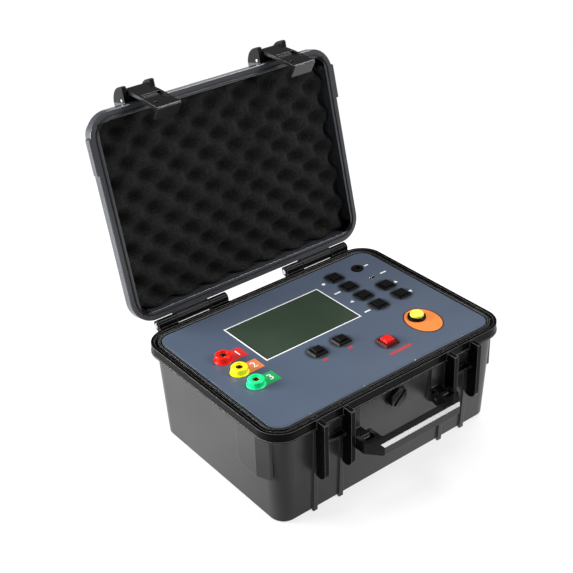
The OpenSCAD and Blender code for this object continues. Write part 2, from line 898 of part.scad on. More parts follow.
module terminal_sockets() {
    top = face_z + terminal_h - terminal_dish_d - bond_gap;
    color([0.75, 0.6, 0.3]) for (y = terminal_ys)
        translate([terminal_x, y, top - tube_l]) difference() {
            cylinder(r = tube_r, h = tube_l);
            translate([0, 0, tube_l - socket_l]) cylinder(r = socket_r, h = socket_l + over);
        }
}

module terminal_nuts() {
    color([0.72, 0.72, 0.7]) for (y = terminal_ys)
        translate([terminal_x, y, under_z - nut_t - bond_gap]) difference() {
            cylinder(r = nut_r + terminal_flange_t * 3, h = nut_t, $fn = 6);
            translate([0, 0, -over])
                cylinder(r = terminal_neck_r + bond_gap, h = nut_t + 2 * over);
        }
}

module key_frame(w, d, h, cap) {
    difference() {
        frustum(w, d, w - h, d - h, h);
        cube([cap + 2 * fit_gap, cap + 2 * fit_gap, 3 * h], center = true);
    }
}

module key_frames() {
    color(shade) translate([0, 0, face_z]) {
        for (p = key_places())
            translate(p) key_frame(key_frame_w, key_frame_w, key_frame_h, key_cap_w);
        for (p = mode_places())
            translate(p) key_frame(key_frame_w, mode_frame_l, mode_frame_h, mode_cap_w);
    }
}

module power_frame() {
    color([0.35, 0.05, 0.05]) translate([power_x, -power_front, face_z])
        key_frame(power_frame_w, power_frame_w, power_frame_h, power_cap_w);
}

module test_ring() {
    color(shade) translate([test_x, -test_front, face_z]) rotate_extrude()
        polygon([
            [test_cap_r + fit_gap, 0], [test_ring_r, 0],
            [test_ring_r, test_ring_h - slot_d / 2], [test_ring_r - slot_d / 2, test_ring_h],
            [test_cap_r + fit_gap, test_ring_h]
        ]);
}

// A square key: cap, retaining flange under the panel, and stem to its switch
module key(p, w, h, travel) {
    flange_z = under_z - fit_gap - flange_t;
    stem_z = board_top + switch_t + travel + fit_gap;
    translate([p[0], p[1], 0]) {
        translate([0, 0, face_z]) frustum(w, w, w - h / 3, w - h / 3, h);
        translate([-w / 2, -w / 2, flange_z]) cube([w, w, face_z - flange_z]);
        translate([-w / 2 - flange_extra, -w / 2 - flange_extra, flange_z])
            cube([w + 2 * flange_extra, w + 2 * flange_extra, flange_t]);
        translate([-stem_w / 2, -stem_w / 2, stem_z])
            cube([stem_w, stem_w, flange_z - stem_z + flange_t]);
    }
}

module column_key(i) {
    color([0.1, 0.1, 0.11]) key(key_places()[i], key_cap_w, key_cap_h, key_travel);
}

module mode_key(i) {
    color([0.1, 0.1, 0.11]) key(mode_places()[i], mode_cap_w, mode_cap_h, key_travel);
}

module key_light() { column_key(3); }
module key_memory() { column_key(2); }
module key_return() { column_key(1); }
module key_set() { column_key(0); }
module key_up() { column_key(4); }
module key_down() { column_key(5); }
module key_mode_left() { mode_key(0); }
module key_mode_right() { mode_key(1); }

module power_key() {
    color([0.85, 0.15, 0.12]) key([power_x, -power_front], power_cap_w, power_cap_h, key_travel);
}

module test_button() {
    flange_z = under_z - fit_gap - flange_t;
    stem_z = board_top + switch_t + test_travel + fit_gap;
    top = face_z + test_cap_h;
    color([0.75, 0.85, 0.2]) translate([test_x, -test_front, 0]) rotate_extrude()
        polygon([
            [0, stem_z], [stem_w / 2, stem_z], [stem_w / 2, flange_z],
            [test_cap_r + flange_extra, flange_z],
            [test_cap_r + flange_extra, flange_z + flange_t],
            [test_cap_r, flange_z + flange_t], [test_cap_r, top - flange_t],
            [test_cap_r - flange_t / 2, top - flange_t / 3], [test_cap_r - 2 * flange_t, top],
            [0, top]
        ]);
}

module dc_jack() {
    color(shade) translate([dc_x, dc_back, 0]) {
        difference() {
            union() {
                translate([0, 0, face_z]) cylinder(r = dc_ring_r, h = dc_ring_t);
                translate([0, 0, under_z - over])
                    cylinder(r = dc_neck_r, h = face_z - under_z + over + dc_ring_t);
                translate([-dc_body_w / 2, -dc_body_w / 2, board_top])
                    cube([dc_body_w, dc_body_w, board_gap - bond_gap]);
            }
            translate([0, 0, face_z + dc_ring_t - dc_hole_d])
                cylinder(r = dc_hole_r, h = dc_hole_d + over);
        }
        translate([0, 0, face_z + dc_ring_t - dc_hole_d - over])
            cylinder(r = dc_pin_r, h = dc_hole_d);
    }
}

module usb_port() {
    z0 = face_z - usb_depth;
    color([0.7, 0.7, 0.68]) translate([dc_x, usb_back, 0]) {
        difference() {
            translate([-usb_w / 2, -usb_d / 2, board_top])
                cube([usb_w, usb_d, face_z - board_top]);
            translate([-usb_w / 2 + usb_wall, -usb_d / 2 + usb_wall, z0])
                cube([usb_w - 2 * usb_wall, usb_d - 2 * usb_wall, usb_depth + over]);
        }
        translate([-usb_w / 3, -usb_wall, z0 - over / 2])
            cube([2 * usb_w / 3, 2 * usb_wall, usb_depth - over]);
    }
}

module board_plate(x, hx, hy, px, py) {
    difference() {
        translate([x - hx, -hy, 0]) cube([2 * hx, 2 * hy, board_t]);
        for (sx = [-1, 1], sy = [-1, 1])
            translate([x + sx * px, sy * py, -over])
                cylinder(r = screw_r + bond_gap, h = board_t + 2 * over);
    }
}

module main_board() {
    color([0.05, 0.35, 0.2]) difference() {
        translate([0, 0, board_z]) board_plate(0, board_hx, board_hy, post_x, post_y);
        for (y = terminal_ys)
            translate([terminal_x, y, board_z - over])
                cylinder(r = tube_r + fit_gap, h = board_t + 2 * over);
    }
}

module board_screws() {
    color([0.72, 0.72, 0.7]) for (sx = [-1, 1], sy = [-1, 1])
        translate([sx * post_x, sy * post_y, board_z - head_t - bond_gap]) {
            cylinder(r = head_r, h = head_t);
            cylinder(r = screw_r, h = head_t + board_t + board_gap / 2);
        }
}

module tact_switch(p) {
    translate([p[0], p[1], board_top]) {
        translate([-switch_w / 2, -switch_w / 2, 0])
            cube([switch_w, switch_w, switch_t - over]);
        cylinder(r = switch_w / 4, h = switch_t);
    }
}

module key_switches() {
    color([0.2, 0.2, 0.22]) {
        for (p = concat(key_places(), mode_places())) tact_switch(p);
        tact_switch([power_x, -power_front]);
        tact_switch([test_x, -test_front]);
    }
}

module measuring_board() {
    color([0.05, 0.35, 0.2]) translate([0, 0, low_board_z + bond_gap])
        board_plate(low_x, low_hx, low_hy, low_post_x, low_post_y);
}

module measuring_screws() {
    top = low_board_z + board_t + 2 * bond_gap;
    color([0.72, 0.72, 0.7]) for (sx = [-1, 1], sy = [-1, 1])
        translate([low_x + sx * low_post_x, sy * low_post_y, top - board_t - low_post_h / 2]) {
            cylinder(r = screw_r, h = board_t + low_post_h / 2 + head_t);
            translate([0, 0, board_t + low_post_h / 2]) cylinder(r = head_r, h = head_t);
        }
}

// Places on top of the measuring board
module on_low_board(x, y) {
    translate([low_x + x, y, low_board_z + board_t + 2 * bond_gap]) children();
}

module transformer_core() {
    window_z = core_h - 2 * core_leg;
    color([0.45, 0.45, 0.47]) on_low_board(-core_w / 2 - board_t, core_leg) difference() {
        translate([-core_w / 2, -core_d / 2, 0]) cube([core_w, core_d, core_h]);
        for (side = [-1, 1])
            translate([side * (core_leg + core_window_w / 2), 0, core_h / 2])
                cube([core_window_w, core_d + 2 * over, window_z], center = true);
    }
}

module transformer_coil() {
    coil_h = core_h - 2 * core_leg - 2 * coil_gap;
    coil_x = core_leg + core_window_w - coil_gap;
    coil_y = core_d / 2 + core_window_w - coil_gap;
    color([0.75, 0.6, 0.2]) on_low_board(-core_w / 2 - board_t, core_leg)
        translate([0, 0, core_h / 2]) difference() {
            cube([2 * coil_x, 2 * coil_y, coil_h], center = true);
            cube([2 * (core_leg + coil_gap), core_d + 2 * coil_gap, coil_h + over], center = true);
        }
}

module relays() {
    color([0.9, 0.9, 0.88]) for (i = [-1, 0, 1])
        on_low_board(relay_pitch, i * relay_pitch)
            translate([-relay_w / 2, -relay_d / 2, 0]) cube([relay_w, relay_d, relay_h]);
}

module battery_tray() {
    color(shade) translate([tray_x, 0, floor_z + bond_gap]) difference() {
        translate([-tray_hx, -tray_hy, 0]) cube([2 * tray_hx, 2 * tray_hy, tray_h]);
        for (side = [0, 1])
            mirror([0, side, 0])
                translate([tray_wall - tray_hx, tray_wall / 2, tray_wall])
                    cube([
                        2 * (tray_hx - tray_wall), tray_hy - 3 * tray_wall / 2, tray_h
                    ]);
    }
}

module battery_cells() {
    color([0.2, 0.3, 0.5])
        for (i = [-3:2:3], side = [0, 1])
            translate([tray_x + i * cell_pitch / 2, 0, floor_z + tray_wall + cell_r + 2 * bond_gap])
                mirror([0, side, 0]) rotate([-90, 0, 0]) {
                    translate([0, 0, tray_wall / 2 + over]) cylinder(r = cell_r, h = cell_l - over);
                    translate([0, 0, cell_l + tray_wall / 2]) cylinder(r = cell_r / 3, h = over);
                }
}

module battery_strap() {
    top = tray_wall + 2 * cell_r + 3 * bond_gap;
    arm = tray_hx + fit_gap;
    color([0.6, 0.61, 0.62])
        translate([tray_x, strap_w / 2, floor_z + bond_gap]) rotate([90, 0, 0])
            linear_extrude(strap_w)
                polygon([
                    [arm, top], [arm, 0], [arm + strap_w / 2, 0],
                    [arm + strap_w / 2, strap_t], [arm + strap_t, strap_t],
                    [arm + strap_t, top + strap_t], [-arm - strap_t, top + strap_t],
                    [-arm - strap_t, strap_t], [-arm - strap_w / 2, strap_t],
                    [-arm - strap_w / 2, 0], [-arm, 0], [-arm, top]
                ]);
}

// Right half of the lid's wall section, square up to the shoulder and round above it
module lid_section(pts, edge_r) {
    section(corner_r, pts);
    intersection() {
        translate([0, lid_shoulder]) circle(edge_r);
        translate([0, lid_shoulder - edge_r]) square([edge_r + over, 2 * edge_r]);
    }
}

module ear_outline() {
    y0 = -rim_hy + ear_mid_in;
    back = -wall_hy + wall - over / 2;
    intersection() {
        translate([y0, ear_mid_up]) circle(ear_r);
        translate([y0 - ear_r, ear_low]) square([ear_r + over, ear_top - ear_low]);
    }
    polygon([
        [y0, ear_low], [back, ear_low], [back, lid_shoulder],
        [back + land_w, ear_top - over], [y0, ear_top - over]
    ]);
}

module lid_ears() {
    for (side = [-1, 1])
        difference() {
            plate_x(latch_x + side * fin_mid, fin_t)
                translate([0, seam_z]) ear_outline();
            bar_x(
                latch_x + side * fin_mid, latch_pin_y, latch_pin_z,
                latch_pin_r + bond_gap, fin_t + 2 * over
            );
        }
}

module lid_barrel() {
    difference() {
        union() {
            bar_x(hinge_mid_x, axis_y, axis_z, barrel_r, lid_barrel_l);
            plate_x(hinge_mid_x, lid_barrel_l)
                polygon([
                    [rim_hy - hinge_root, seam_z], [axis_y, seam_z],
                    [axis_y, axis_z + barrel_r],
                    [rim_hy - hinge_root, axis_z + barrel_r + over]
                ]);
        }
        bar_x(hinge_mid_x, axis_y, axis_z, hinge_pin_r + run_gap, lid_barrel_l + 2 * over);
    }
}

module lid_pad() {
    translate([0, 0, seam_z]) linear_extrude(lid_pad_h)
        polygon([
            [rim_hx - wall, -pad_rear_y], [rim_hx + pad_out, -pad_rear_y],
            [rim_hx + pad_out, -pad_front_y], [rim_hx - wall, -pad_front_y - wall]
        ]);
}

module lid_shell() {
    inner = corner_r - opening_inset;
    inner_edge = lid_edge_r - wall;
    roof = lid_shoulder + inner_edge;
    color([0.42, 0.44, 0.47]) opened() {
        difference() {
            translate([0, 0, seam_z])
                rounded(rim_hx, rim_hy, corner_r, 0, lid_h)
                    lid_section([
                        [bead_h / 2, 0], [0, bead_h / 2], [0, lid_band_h - bead_h / 2],
                        [bead_h / 2, lid_band_h], [lid_wall_inset, lid_band_h],
                        [corner_r - lid_edge_r, lid_shoulder]
                    ], lid_edge_r);
            translate([0, 0, seam_z])
                rounded(rim_hx, rim_hy, corner_r, -over, roof)
                    lid_section([
                        [corner_r - inner, -over], [corner_r - inner, lid_band_h],
                        [corner_r - inner_edge, lid_shoulder]
                    ], inner_edge);
            rim_ring(seal_inset, seal_inset + seal_w, seam_z - over, seam_z + seal_depth);
        }
        both_sides() {
            lid_ears();
            lid_barrel();
            lid_pad();
        }
    }
}

module lid_seal() {
    color([0.05, 0.05, 0.05]) opened()
        rim_ring(
            seal_inset + bond_gap, seal_inset + seal_w - bond_gap,
            seam_z - seal_proud, seam_z + seal_depth - bond_gap
        );
}

// Egg-crate foam: a grid of points with staggered peaks and pits
foam_nx = 38;
foam_ny = 24;
foam_edge = 11.2;
foam_swell = 0.9;
foam_r = corner_r - foam_edge;
foam_x0 = 45.25;
foam_y0 = -80;
foam_row = 31.6;
foam_roof = lid_shoulder + lid_edge_r - wall - bond_gap * 10;
foam_peak = foam_roof - foam_t;
foam_back_in = 23.1;

function foam_wave(x, y) =
    cos(360 * (x - foam_x0) / foam_pitch) * cos(360 * (y - foam_y0) / foam_row);

// Moves a point of a square-cornered plan onto a round-cornered one
function round_plan(a, b, hx, hy, r) =
    let (
        x = abs(a) * hx, y = abs(b) * hy,
        dx = max(0, x - hx + r), dy = max(0, y - hy + r)
    ) [
        sign(a) * (x - dx + dx * sqrt(1 - pow(dy / r, 2) / 2)),
        sign(b) * (y - dy + dy * sqrt(1 - pow(dx / r, 2) / 2))
    ];

function foam_point(i, j) =
    let (
        p = round_plan(
            2 * i / foam_nx - 1, 2 * j / foam_ny - 1,
            rim_hx - foam_edge, rim_hy - foam_edge, foam_r
        ),
        w = foam_wave(p[0], p[1]),
        swell = 1 + w * foam_swell / rim_hx
    ) [p[0] * swell, p[1] * swell, foam_peak + foam_bump * (1 - w) / 2];

function foam_rim_index() = concat(
    [for (i = [0:foam_nx]) [i, 0]],
    [for (j = [1:foam_ny]) [foam_nx, j]],
    [for (i = [foam_nx - 1:-1:0]) [i, foam_ny]],
    [for (j = [foam_ny - 1:-1:1]) [0, j]]
);

function foam_ring(inset, z) =
    [for (q = foam_rim_index())
        let (p = round_plan(
            2 * q[0] / foam_nx - 1, 2 * q[1] / foam_ny - 1,
            rim_hx - inset, rim_hy - inset, max(corner_r - inset, bead_h)
        )) [p[0], p[1], z]];

module lid_foam() {
    row = foam_nx + 1;
    grid = [for (j = [0:foam_ny], i = [0:foam_nx]) foam_point(i, j)];
    shoulder = foam_ring(foam_edge + foam_swell, lid_shoulder);
    back = foam_ring(foam_back_in, foam_roof);
    points = concat(grid, shoulder, back, [[0, 0, foam_roof]]);
    n = 2 * (foam_nx + foam_ny);
    s0 = row * (foam_ny + 1);
    b0 = s0 + n;
    rim = [for (q = foam_rim_index()) q[1] * row + q[0]];
    front = [for (j = [0:foam_ny - 1], i = [0:foam_nx - 1])
        let (k = j * row + i)
        each [[k, k + 1, k + row + 1], [k, k + row + 1, k + row]]];
    side = [for (k = [0:n - 1])
        let (m = (k + 1) % n)
        each [
            [rim[k], s0 + k, s0 + m], [rim[k], s0 + m, rim[m]],
            [s0 + k, b0 + k, b0 + m], [s0 + k, b0 + m, s0 + m]
        ]];
    cap = [for (k = [0:n - 1]) [b0 + k, b0 + n, b0 + (k + 1) % n]];
    color([0.1, 0.1, 0.1]) opened() translate([0, 0, seam_z])
        polyhedron(points, concat(front, side, cap));
}

module latch_pin(x) {
    opened() bar_x(x, latch_pin_y, latch_pin_z, latch_pin_r, 2 * fin_mid + fin_t);
}

module latch_pin_left() {
    color([0.7, 0.71, 0.72]) latch_pin(-latch_x);
}

module latch_pin_right() {
    color([0.7, 0.71, 0.72]) latch_pin(latch_x);
}

// Latch seen from its end, hooked position, about its pin
module latch_outline() {
    circle(latch_r);
    polygon([
        [0, latch_r], [bead_h - latch_face, latch_head], [-latch_face, latch_head - bead_h],
        [latch_end_in / 3 - latch_face - bead_h / 3, -latch_waist],
        [latch_end_in - latch_face, bead_h - latch_drop],
        [latch_end_in - latch_face + bead_h, -latch_drop],
        [hook_in, hook_rise - latch_drop], [hook_in, hook_rise + latch_t - latch_drop],
        [latch_end_in - latch_face + latch_t, latch_t + bead_h - latch_drop],
        [latch_t - latch_face + bead_h / 3, -latch_waist],
        [latch_t - latch_face, -2 * latch_r], [0, -latch_r]
    ]);
    translate([latch_end_in - latch_face + bead_h / 2, bead_h - latch_drop])
        circle(latch_bead_r);
}

// Outline of a pocket in the latch's outer face, between two distances from the pin
module latch_pocket(a, b) {
    slope = 2 * latch_end_in / 3 / (latch_drop - latch_waist);
    face = -latch_face + latch_end_in / 3 - bead_h / 3;
    polygon([
        [-latch_face - latch_well_d, -a],
        [face + (a - latch_waist) * slope + latch_well_d, -a],
        [face + (b - latch_waist) * slope + latch_well_d, -b],
        [-latch_face - latch_well_d, -b]
    ]);
}

module latch(x) {
    opened() difference() {
        translate([0, latch_pin_y, latch_pin_z]) rotate([latch_fold, 0, 0])
            difference() {
                plate_x(x, latch_w) latch_outline();
                plate_x(x, latch_w - 2 * latch_rail) latch_pocket(latch_well_a, latch_well_b);
                plate_x(x - latch_w / 2 + latch_rail + latch_pit_w, latch_pit_w)
                    latch_pocket(latch_pit_a, latch_pit_a + latch_pit_w);
            }
        bar_x(x, latch_pin_y, latch_pin_z, latch_pin_r + run_gap, latch_w + 2 * over);
    }
}

module latch_left() {
    color(shade) latch(-latch_x);
}

module latch_right() {
    color(shade) latch(latch_x);
}

module handle() {
    inner_x = handle_hx - arm_w;
    inner_y = handle_front + grip_d;
    color(shade) difference() {
        intersection() {
            translate([0, 0, handle_z - grip_h]) linear_extrude(2 * grip_h) difference() {
                polygon([
                    [-handle_hx, handle_y + grip_h], [-handle_hx, handle_front + corner_cut_y],
                    [-handle_hx + corner_cut_x, handle_front],
                    [handle_hx - corner_cut_x, handle_front],
                    [handle_hx, handle_front + corner_cut_y], [handle_hx, handle_y + grip_h]
                ]);
                polygon([
                    [-inner_x, handle_y + 2 * grip_h], [-inner_x, inner_y + bead_h],
                    [-inner_x + bead_h, inner_y], [inner_x - bead_h, inner_y],
                    [inner_x, inner_y + bead_h], [inner_x, handle_y + 2 * grip_h]
                ]);
            }
            plate_x(0, handle_w + 2 * over) {
                translate([handle_y, handle_z]) circle(handle_hub_r);
                polygon([
                    [handle_y, handle_z - handle_hub_r], [handle_y, handle_z + handle_hub_r],
                    [handle_front + grip_round, handle_z + handle_hub_r],
                    [handle_front, handle_z + handle_hub_r - grip_round],
                    [handle_front, handle_z - handle_hub_r + bead_h],
                    [handle_front + bead_h, handle_z - handle_hub_r]
                ]);
            }
        }
        both_sides() {
            translate([
                knuckle_x - knuckle_w / 2 - fit_gap, handle_y - fork_depth, handle_z - grip_h
            ])
                cube([knuckle_w + 2 * fit_gap, fork_depth + 2 * grip_h, 2 * grip_h]);
            bar_x(knuckle_x, handle_y, handle_z, handle_pin_r + run_gap, arm_w + 2 * over);
        }
    }
}

base_shell();
hinge_pin_left();
hinge_pin_right();
handle_pins();
valve_body();
valve_seal();
valve_nut();
front_panel();
panel_film();
panel_screws();
lcd_window();
lcd_frame();
lcd_glass();
terminal_red();
terminal_yellow();
terminal_green();
terminal_sockets();
terminal_nuts();
key_frames();
power_frame();
test_ring();
dc_jack();
usb_port();
main_board();
board_screws();
key_switches();
measuring_board();
measuring_screws();
transformer_core();
transformer_coil();
relays();
battery_tray();
battery_cells();
battery_strap();
lid_shell();
lid_seal();
lid_foam();
latch_pin_left();
latch_pin_right();
latch_left();
latch_right();
handle();
valve_knob();
key_light();
key_memory();
key_return();
key_set();
key_up();
key_down();
key_mode_left();
key_mode_right();
power_key();
test_button();
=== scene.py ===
# %% [markdown]
# # An earth resistance tester in its carrying case
# The moulded case, the latches and the keys come in as a fixed frame of solids that already
# have their real sizes. This script dresses that frame: it gives each solid a finish, adds the
# printed marks and the soft foam, and sets up the camera and the light. Everything is in metres.

# %% Load the frame
import json
import math
import random

import bmesh
import bpy
from mathutils import Matrix, Vector


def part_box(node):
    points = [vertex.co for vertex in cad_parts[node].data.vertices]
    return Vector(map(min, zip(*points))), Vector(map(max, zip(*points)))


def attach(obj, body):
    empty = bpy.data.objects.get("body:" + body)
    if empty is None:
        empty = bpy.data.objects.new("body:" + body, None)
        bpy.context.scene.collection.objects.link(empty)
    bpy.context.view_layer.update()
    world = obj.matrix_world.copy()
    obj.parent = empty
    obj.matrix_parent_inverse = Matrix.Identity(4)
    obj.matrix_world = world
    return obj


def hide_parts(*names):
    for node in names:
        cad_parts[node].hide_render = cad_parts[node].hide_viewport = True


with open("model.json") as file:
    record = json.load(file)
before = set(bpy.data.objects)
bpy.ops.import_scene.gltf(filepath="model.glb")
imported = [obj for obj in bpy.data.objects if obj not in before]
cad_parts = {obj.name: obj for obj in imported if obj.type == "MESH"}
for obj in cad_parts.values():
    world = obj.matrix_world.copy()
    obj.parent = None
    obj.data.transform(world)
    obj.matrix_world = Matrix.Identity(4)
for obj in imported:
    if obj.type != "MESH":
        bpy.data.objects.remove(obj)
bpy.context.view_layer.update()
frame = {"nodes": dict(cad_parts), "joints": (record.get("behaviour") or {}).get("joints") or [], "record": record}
for plain in list(bpy.data.materials):
    bpy.data.materials.remove(plain)

# %% [markdown]
# ## The camera
# The photograph was taken with a long lens from the front left, a little above the case. The
# place and turn of the camera were solved from the straight edges of the rim and the lid, so
# they are written down as they came out. A matrix is used and no tracking constraint, because
# a photograph's small roll can't be had from a target alone.

# %% Camera
photo_width = 573  # pixels
focal_length = 1144.78  # in pixels of the photograph
camera_place = Vector((-570.68, -692.08, 689.72)) / 1000

camera_data = bpy.data.cameras.new("photo_camera")
camera_data.sensor_width = 36
camera_data.lens = camera_data.sensor_width * focal_length / photo_width
camera = bpy.data.objects.new("photo_camera", camera_data)
bpy.context.scene.collection.objects.link(camera)
camera_right = Vector((0.78375, -0.62033, -0.03041))
camera_up = Vector((0.33920, 0.38651, 0.85765))
camera_back = camera_right.cross(camera_up).normalized()
turn = Matrix((camera_right, camera_up, camera_back)).transposed().to_4x4()
camera.matrix_world = Matrix.Translation(camera_place) @ turn
bpy.context.scene.camera = camera
bpy.context.scene.view_settings.view_transform = "Standard"
print("lens", round(camera_data.lens, 1), "mm,", round(camera_place.length, 2), "m away")

# %% [markdown]
# ## Writing shader maths as plain expressions
# A shader is a web of nodes, and a long formula made of Math nodes is hard to read. The small
# class here wraps one output socket and overloads the signs of arithmetic, so that
# `1 - mask * 0.5` adds the Math nodes by itself. The second class holds one material and has a
# single method for any other kind of node.

# %% One socket as a number
class Wire:
    """One output socket, with the arithmetic that a shader formula needs."""

    def __init__(self, finish, socket):
        self.finish = finish
        self.socket = socket

    def maths(self, operation, *values):
        return self.finish.node(
            "ShaderNodeMath", {"operation": operation}, dict(enumerate(values))
        )

    def __add__(self, other): return self.maths("ADD", self, other)
    def __radd__(self, other): return self.maths("ADD", other, self)
    def __sub__(self, other): return self.maths("SUBTRACT", self, other)
    def __rsub__(self, other): return self.maths("SUBTRACT", other, self)
    def __mul__(self, other): return self.maths("MULTIPLY", self, other)
    def __rmul__(self, other): return self.maths("MULTIPLY", other, self)
    def __gt__(self, other): return self.maths("GREATER_THAN", self, other)
    def __lt__(self, other): return self.maths("LESS_THAN", self, other)
    def abs(self): return self.maths("ABSOLUTE", self)

    def smooth(self, low, high):
        """0 below low, 1 above high, and a smooth step between."""
        return self.finish.node(
            "ShaderNodeMapRange", {"interpolation_type": "SMOOTHSTEP", "clamp": True},
            {"Value": self, "From Min": low, "From Max": high},
        )


# %% One material and its nodes
class Finish:
    """A material that is being built round one Principled shader."""

    def __init__(self, name):
        self.name = name
        self.material = bpy.data.materials.new(name)
        self.material.use_nodes = True
        self.nodes = self.material.node_tree.nodes
        self.links = self.material.node_tree.links
        self.surface = self.nodes["Principled BSDF"]
        self.count = 0  # nodes so far, only to lay them out in rows

    def node(self, kind, settings=None, sockets=None, output=0):
        """Adds a node. Settings are set first, then sockets take numbers or wires."""
        made = self.nodes.new(kind)
        self.count += 1
        made.location = (-220 * (self.count % 9) - 300, 260 * (self.count // 9) - 400)
        for key, value in (settings or {}).items():
            setattr(made, key, value)
        for key, value in (sockets or {}).items():
            self.feed(made.inputs[key], value)
        return Wire(self, made.outputs[output])

    def feed(self, socket, value):
        if isinstance(value, Wire):
            self.links.new(value.socket, socket)
        elif value is not None:
            if socket.type == "RGBA" and len(value) == 3:
                value = (*value, 1)
            socket.default_value = value

    def place(self):
        """Object coordinates, in metres from the middle of the underside."""
        return self.node("ShaderNodeTexCoord", output="Object")

    def axis(self, name):
        return self.node("ShaderNodeSeparateXYZ", None, {0: self.place()}, name)

    def noise(self, scale, detail, roughness=0.5):
        """A cloud of values round 0.5, with scale spots to the metre."""
        return self.node(
            "ShaderNodeTexNoise", None,
            {"Vector": self.place(), "Scale": scale, "Detail": detail, "Roughness": roughness},
        )

    def maximum(self, one, other):
        return self.node("ShaderNodeMath", {"operation": "MAXIMUM"}, {0: one, 1: other})

    def tint(self, factor, first, second):
        """Goes from the first colour at 0 to the second at 1."""
        return self.node(
            "ShaderNodeMix", {"data_type": "RGBA"}, {0: factor, 6: first, 7: second}, 2
        )

    def round_edge(self, radius, samples=6):
        """A normal that rounds the sharp arrises of a solid."""
        return self.node("ShaderNodeBevel", {"samples": samples}, {"Radius": radius})

    def edge_mask(self, radius, samples=6):
        """1 on the arrises of a solid and 0 on its flats."""
        rounded = self.round_edge(radius, samples)
        flat = self.node("ShaderNodeNewGeometry", output="Normal")
        along = self.node(
            "ShaderNodeVectorMath", {"operation": "DOT_PRODUCT"}, {0: rounded, 1: flat}, "Value"
        )
        return (1 - along).smooth(0.01, 0.2)

    def bump(self, height, distance, normal=None):
        return self.node(
            "ShaderNodeBump", None,
            {"Strength": 1.0, "Distance": distance, "Height": height, "Normal": normal},
        )

    def shine(self, **sockets):
        """Sets the shader's own sockets. Underscores stand for the spaces in their names."""
        for name, value in sockets.items():
            self.feed(self.surface.inputs[name.replace("_", " ")], value)

    def mix_in(self, chooser, first, second):
        """Lets chooser pick between two shaders: the first at 0 and the second at 1."""
        mixed = self.nodes.new("ShaderNodeMixShader")
        self.feed(mixed.inputs[0], chooser)
        self.links.new(first.outputs[0], mixed.inputs[1])
        self.links.new(second.outputs[0], mixed.inputs[2])
        self.links.new(mixed.outputs[0], self.nodes["Material Output"].inputs[0])


# %% A list of the finishes
finishes = {}


def keep(finish):
    """Puts a finish on the list under its own name."""
    finishes[finish.name] = finish.material
    print("finish", finish.name, "has", len(finish.nodes), "nodes")


# %% [markdown]
# ## Moulded plastic
# The case is injection moulded with a fine spark texture, and its arrises are worn a little
# shiny, which a lower roughness along them gives. One recipe makes every plastic here: a grain
# that only bumps the surface, a slow cloud in the colour and the roughness, and a painted
# highlight along the edges, where the colour is lightened along a mask from the Bevel node. The
# painted edge highlight is the reason for using Bevel: the solids have sharp edges, and real
# ones never do, so Bevel also rounds their normal.

# %% Plastic recipe
def plastic(name, colour, roughness, grain=0.00002, grain_scale=1400, edge=0.0005,
            edge_highlight_gain=1.6, cloud=0.12, mirror=0.3):
    """Lengths are in metres: the depth of the grain and the width of the worn edge, which also gets a painted
    highlight.
    """
    finish = Finish(name)
    slow = finish.noise(18, 4)
    fine = finish.noise(grain_scale, 2, 0.6)
    highlight_edge = finish.edge_mask(edge)
    dark = tuple(c * (1 - cloud) for c in colour)
    light = tuple(min(1, c * (1 + cloud)) for c in colour)
    edge_highlight_colour = tuple(min(1, c * edge_highlight_gain) for c in colour)
    base = finish.tint(slow.smooth(0.3, 0.7), dark, light)
    # Painted highlight: the edges are lightened towards a brighter copy of the colour.
    base = finish.tint(highlight_edge * 0.6, base, edge_highlight_colour)
    rough = roughness + (slow - 0.5) * 0.12 + (fine - 0.5) * 0.08 - highlight_edge * 0.06
    normal = finish.bump(fine, grain, finish.round_edge(edge))
    finish.shine(Base_Color=base, Roughness=rough, Normal=normal, Specular_IOR_Level=mirror)
    keep(finish)


# %% Plastics of the fittings
# Each plastic sets how much lighter its painted edge highlight is.
plastic("latch_plastic", (0.005, 0.005, 0.005), 0.22, 0.00001, 1100, 0.0006, 6.0, mirror=0.5)
plastic("handle_plastic", (0.006, 0.006, 0.006), 0.17, 0.000003, 1100, 0.0005, 4.0, mirror=0.4)

# %% Plastics of the panel
plastic("black_plastic", (0.003, 0.003, 0.003), 0.42, edge=0.0004, edge_highlight_gain=5, mirror=0.1)
plastic("key_plastic", (0.003, 0.003, 0.003), 0.5, edge=0.0004, edge_highlight_gain=8, mirror=0.08)
plastic("red_plastic", (0.74, 0.010, 0.005), 0.28, 0.000008, edge_highlight_gain=1.2, cloud=0.05)
plastic("yellow_plastic", (0.95, 0.78, 0.01), 0.28, 0.000008, edge_highlight_gain=1.05, cloud=0.04)
plastic("green_plastic", (0.010, 0.82, 0.26), 0.28, 0.000008, edge_highlight_gain=1.4, cloud=0.05)
plastic("lime_plastic", (0.84, 0.87, 0.09), 0.3, 0.000008, edge_highlight_gain=1.05, cloud=0.05)
plastic("dark_red_plastic", (0.075, 0.006, 0.006), 0.45, edge_highlight_gain=1.6, mirror=0.08)
plastic("panel_plastic", (0.085, 0.11, 0.15), 0.45)

# %% Rubber and the plastics inside
plastic("rubber", (0.006, 0.006, 0.006), 0.55, 0.00004, edge=0.0002)
plastic("relay_plastic", (0.75, 0.75, 0.72), 0.4, cloud=0.05, edge_highlight_gain=1.1)
plastic("winding", (0.65, 0.45, 0.08), 0.4, 0.00005)
plastic("cell_jacket", (0.06, 0.14, 0.3), 0.25, 0.000005)
plastic("circuit_board", (0.012, 0.13, 0.05), 0.35)
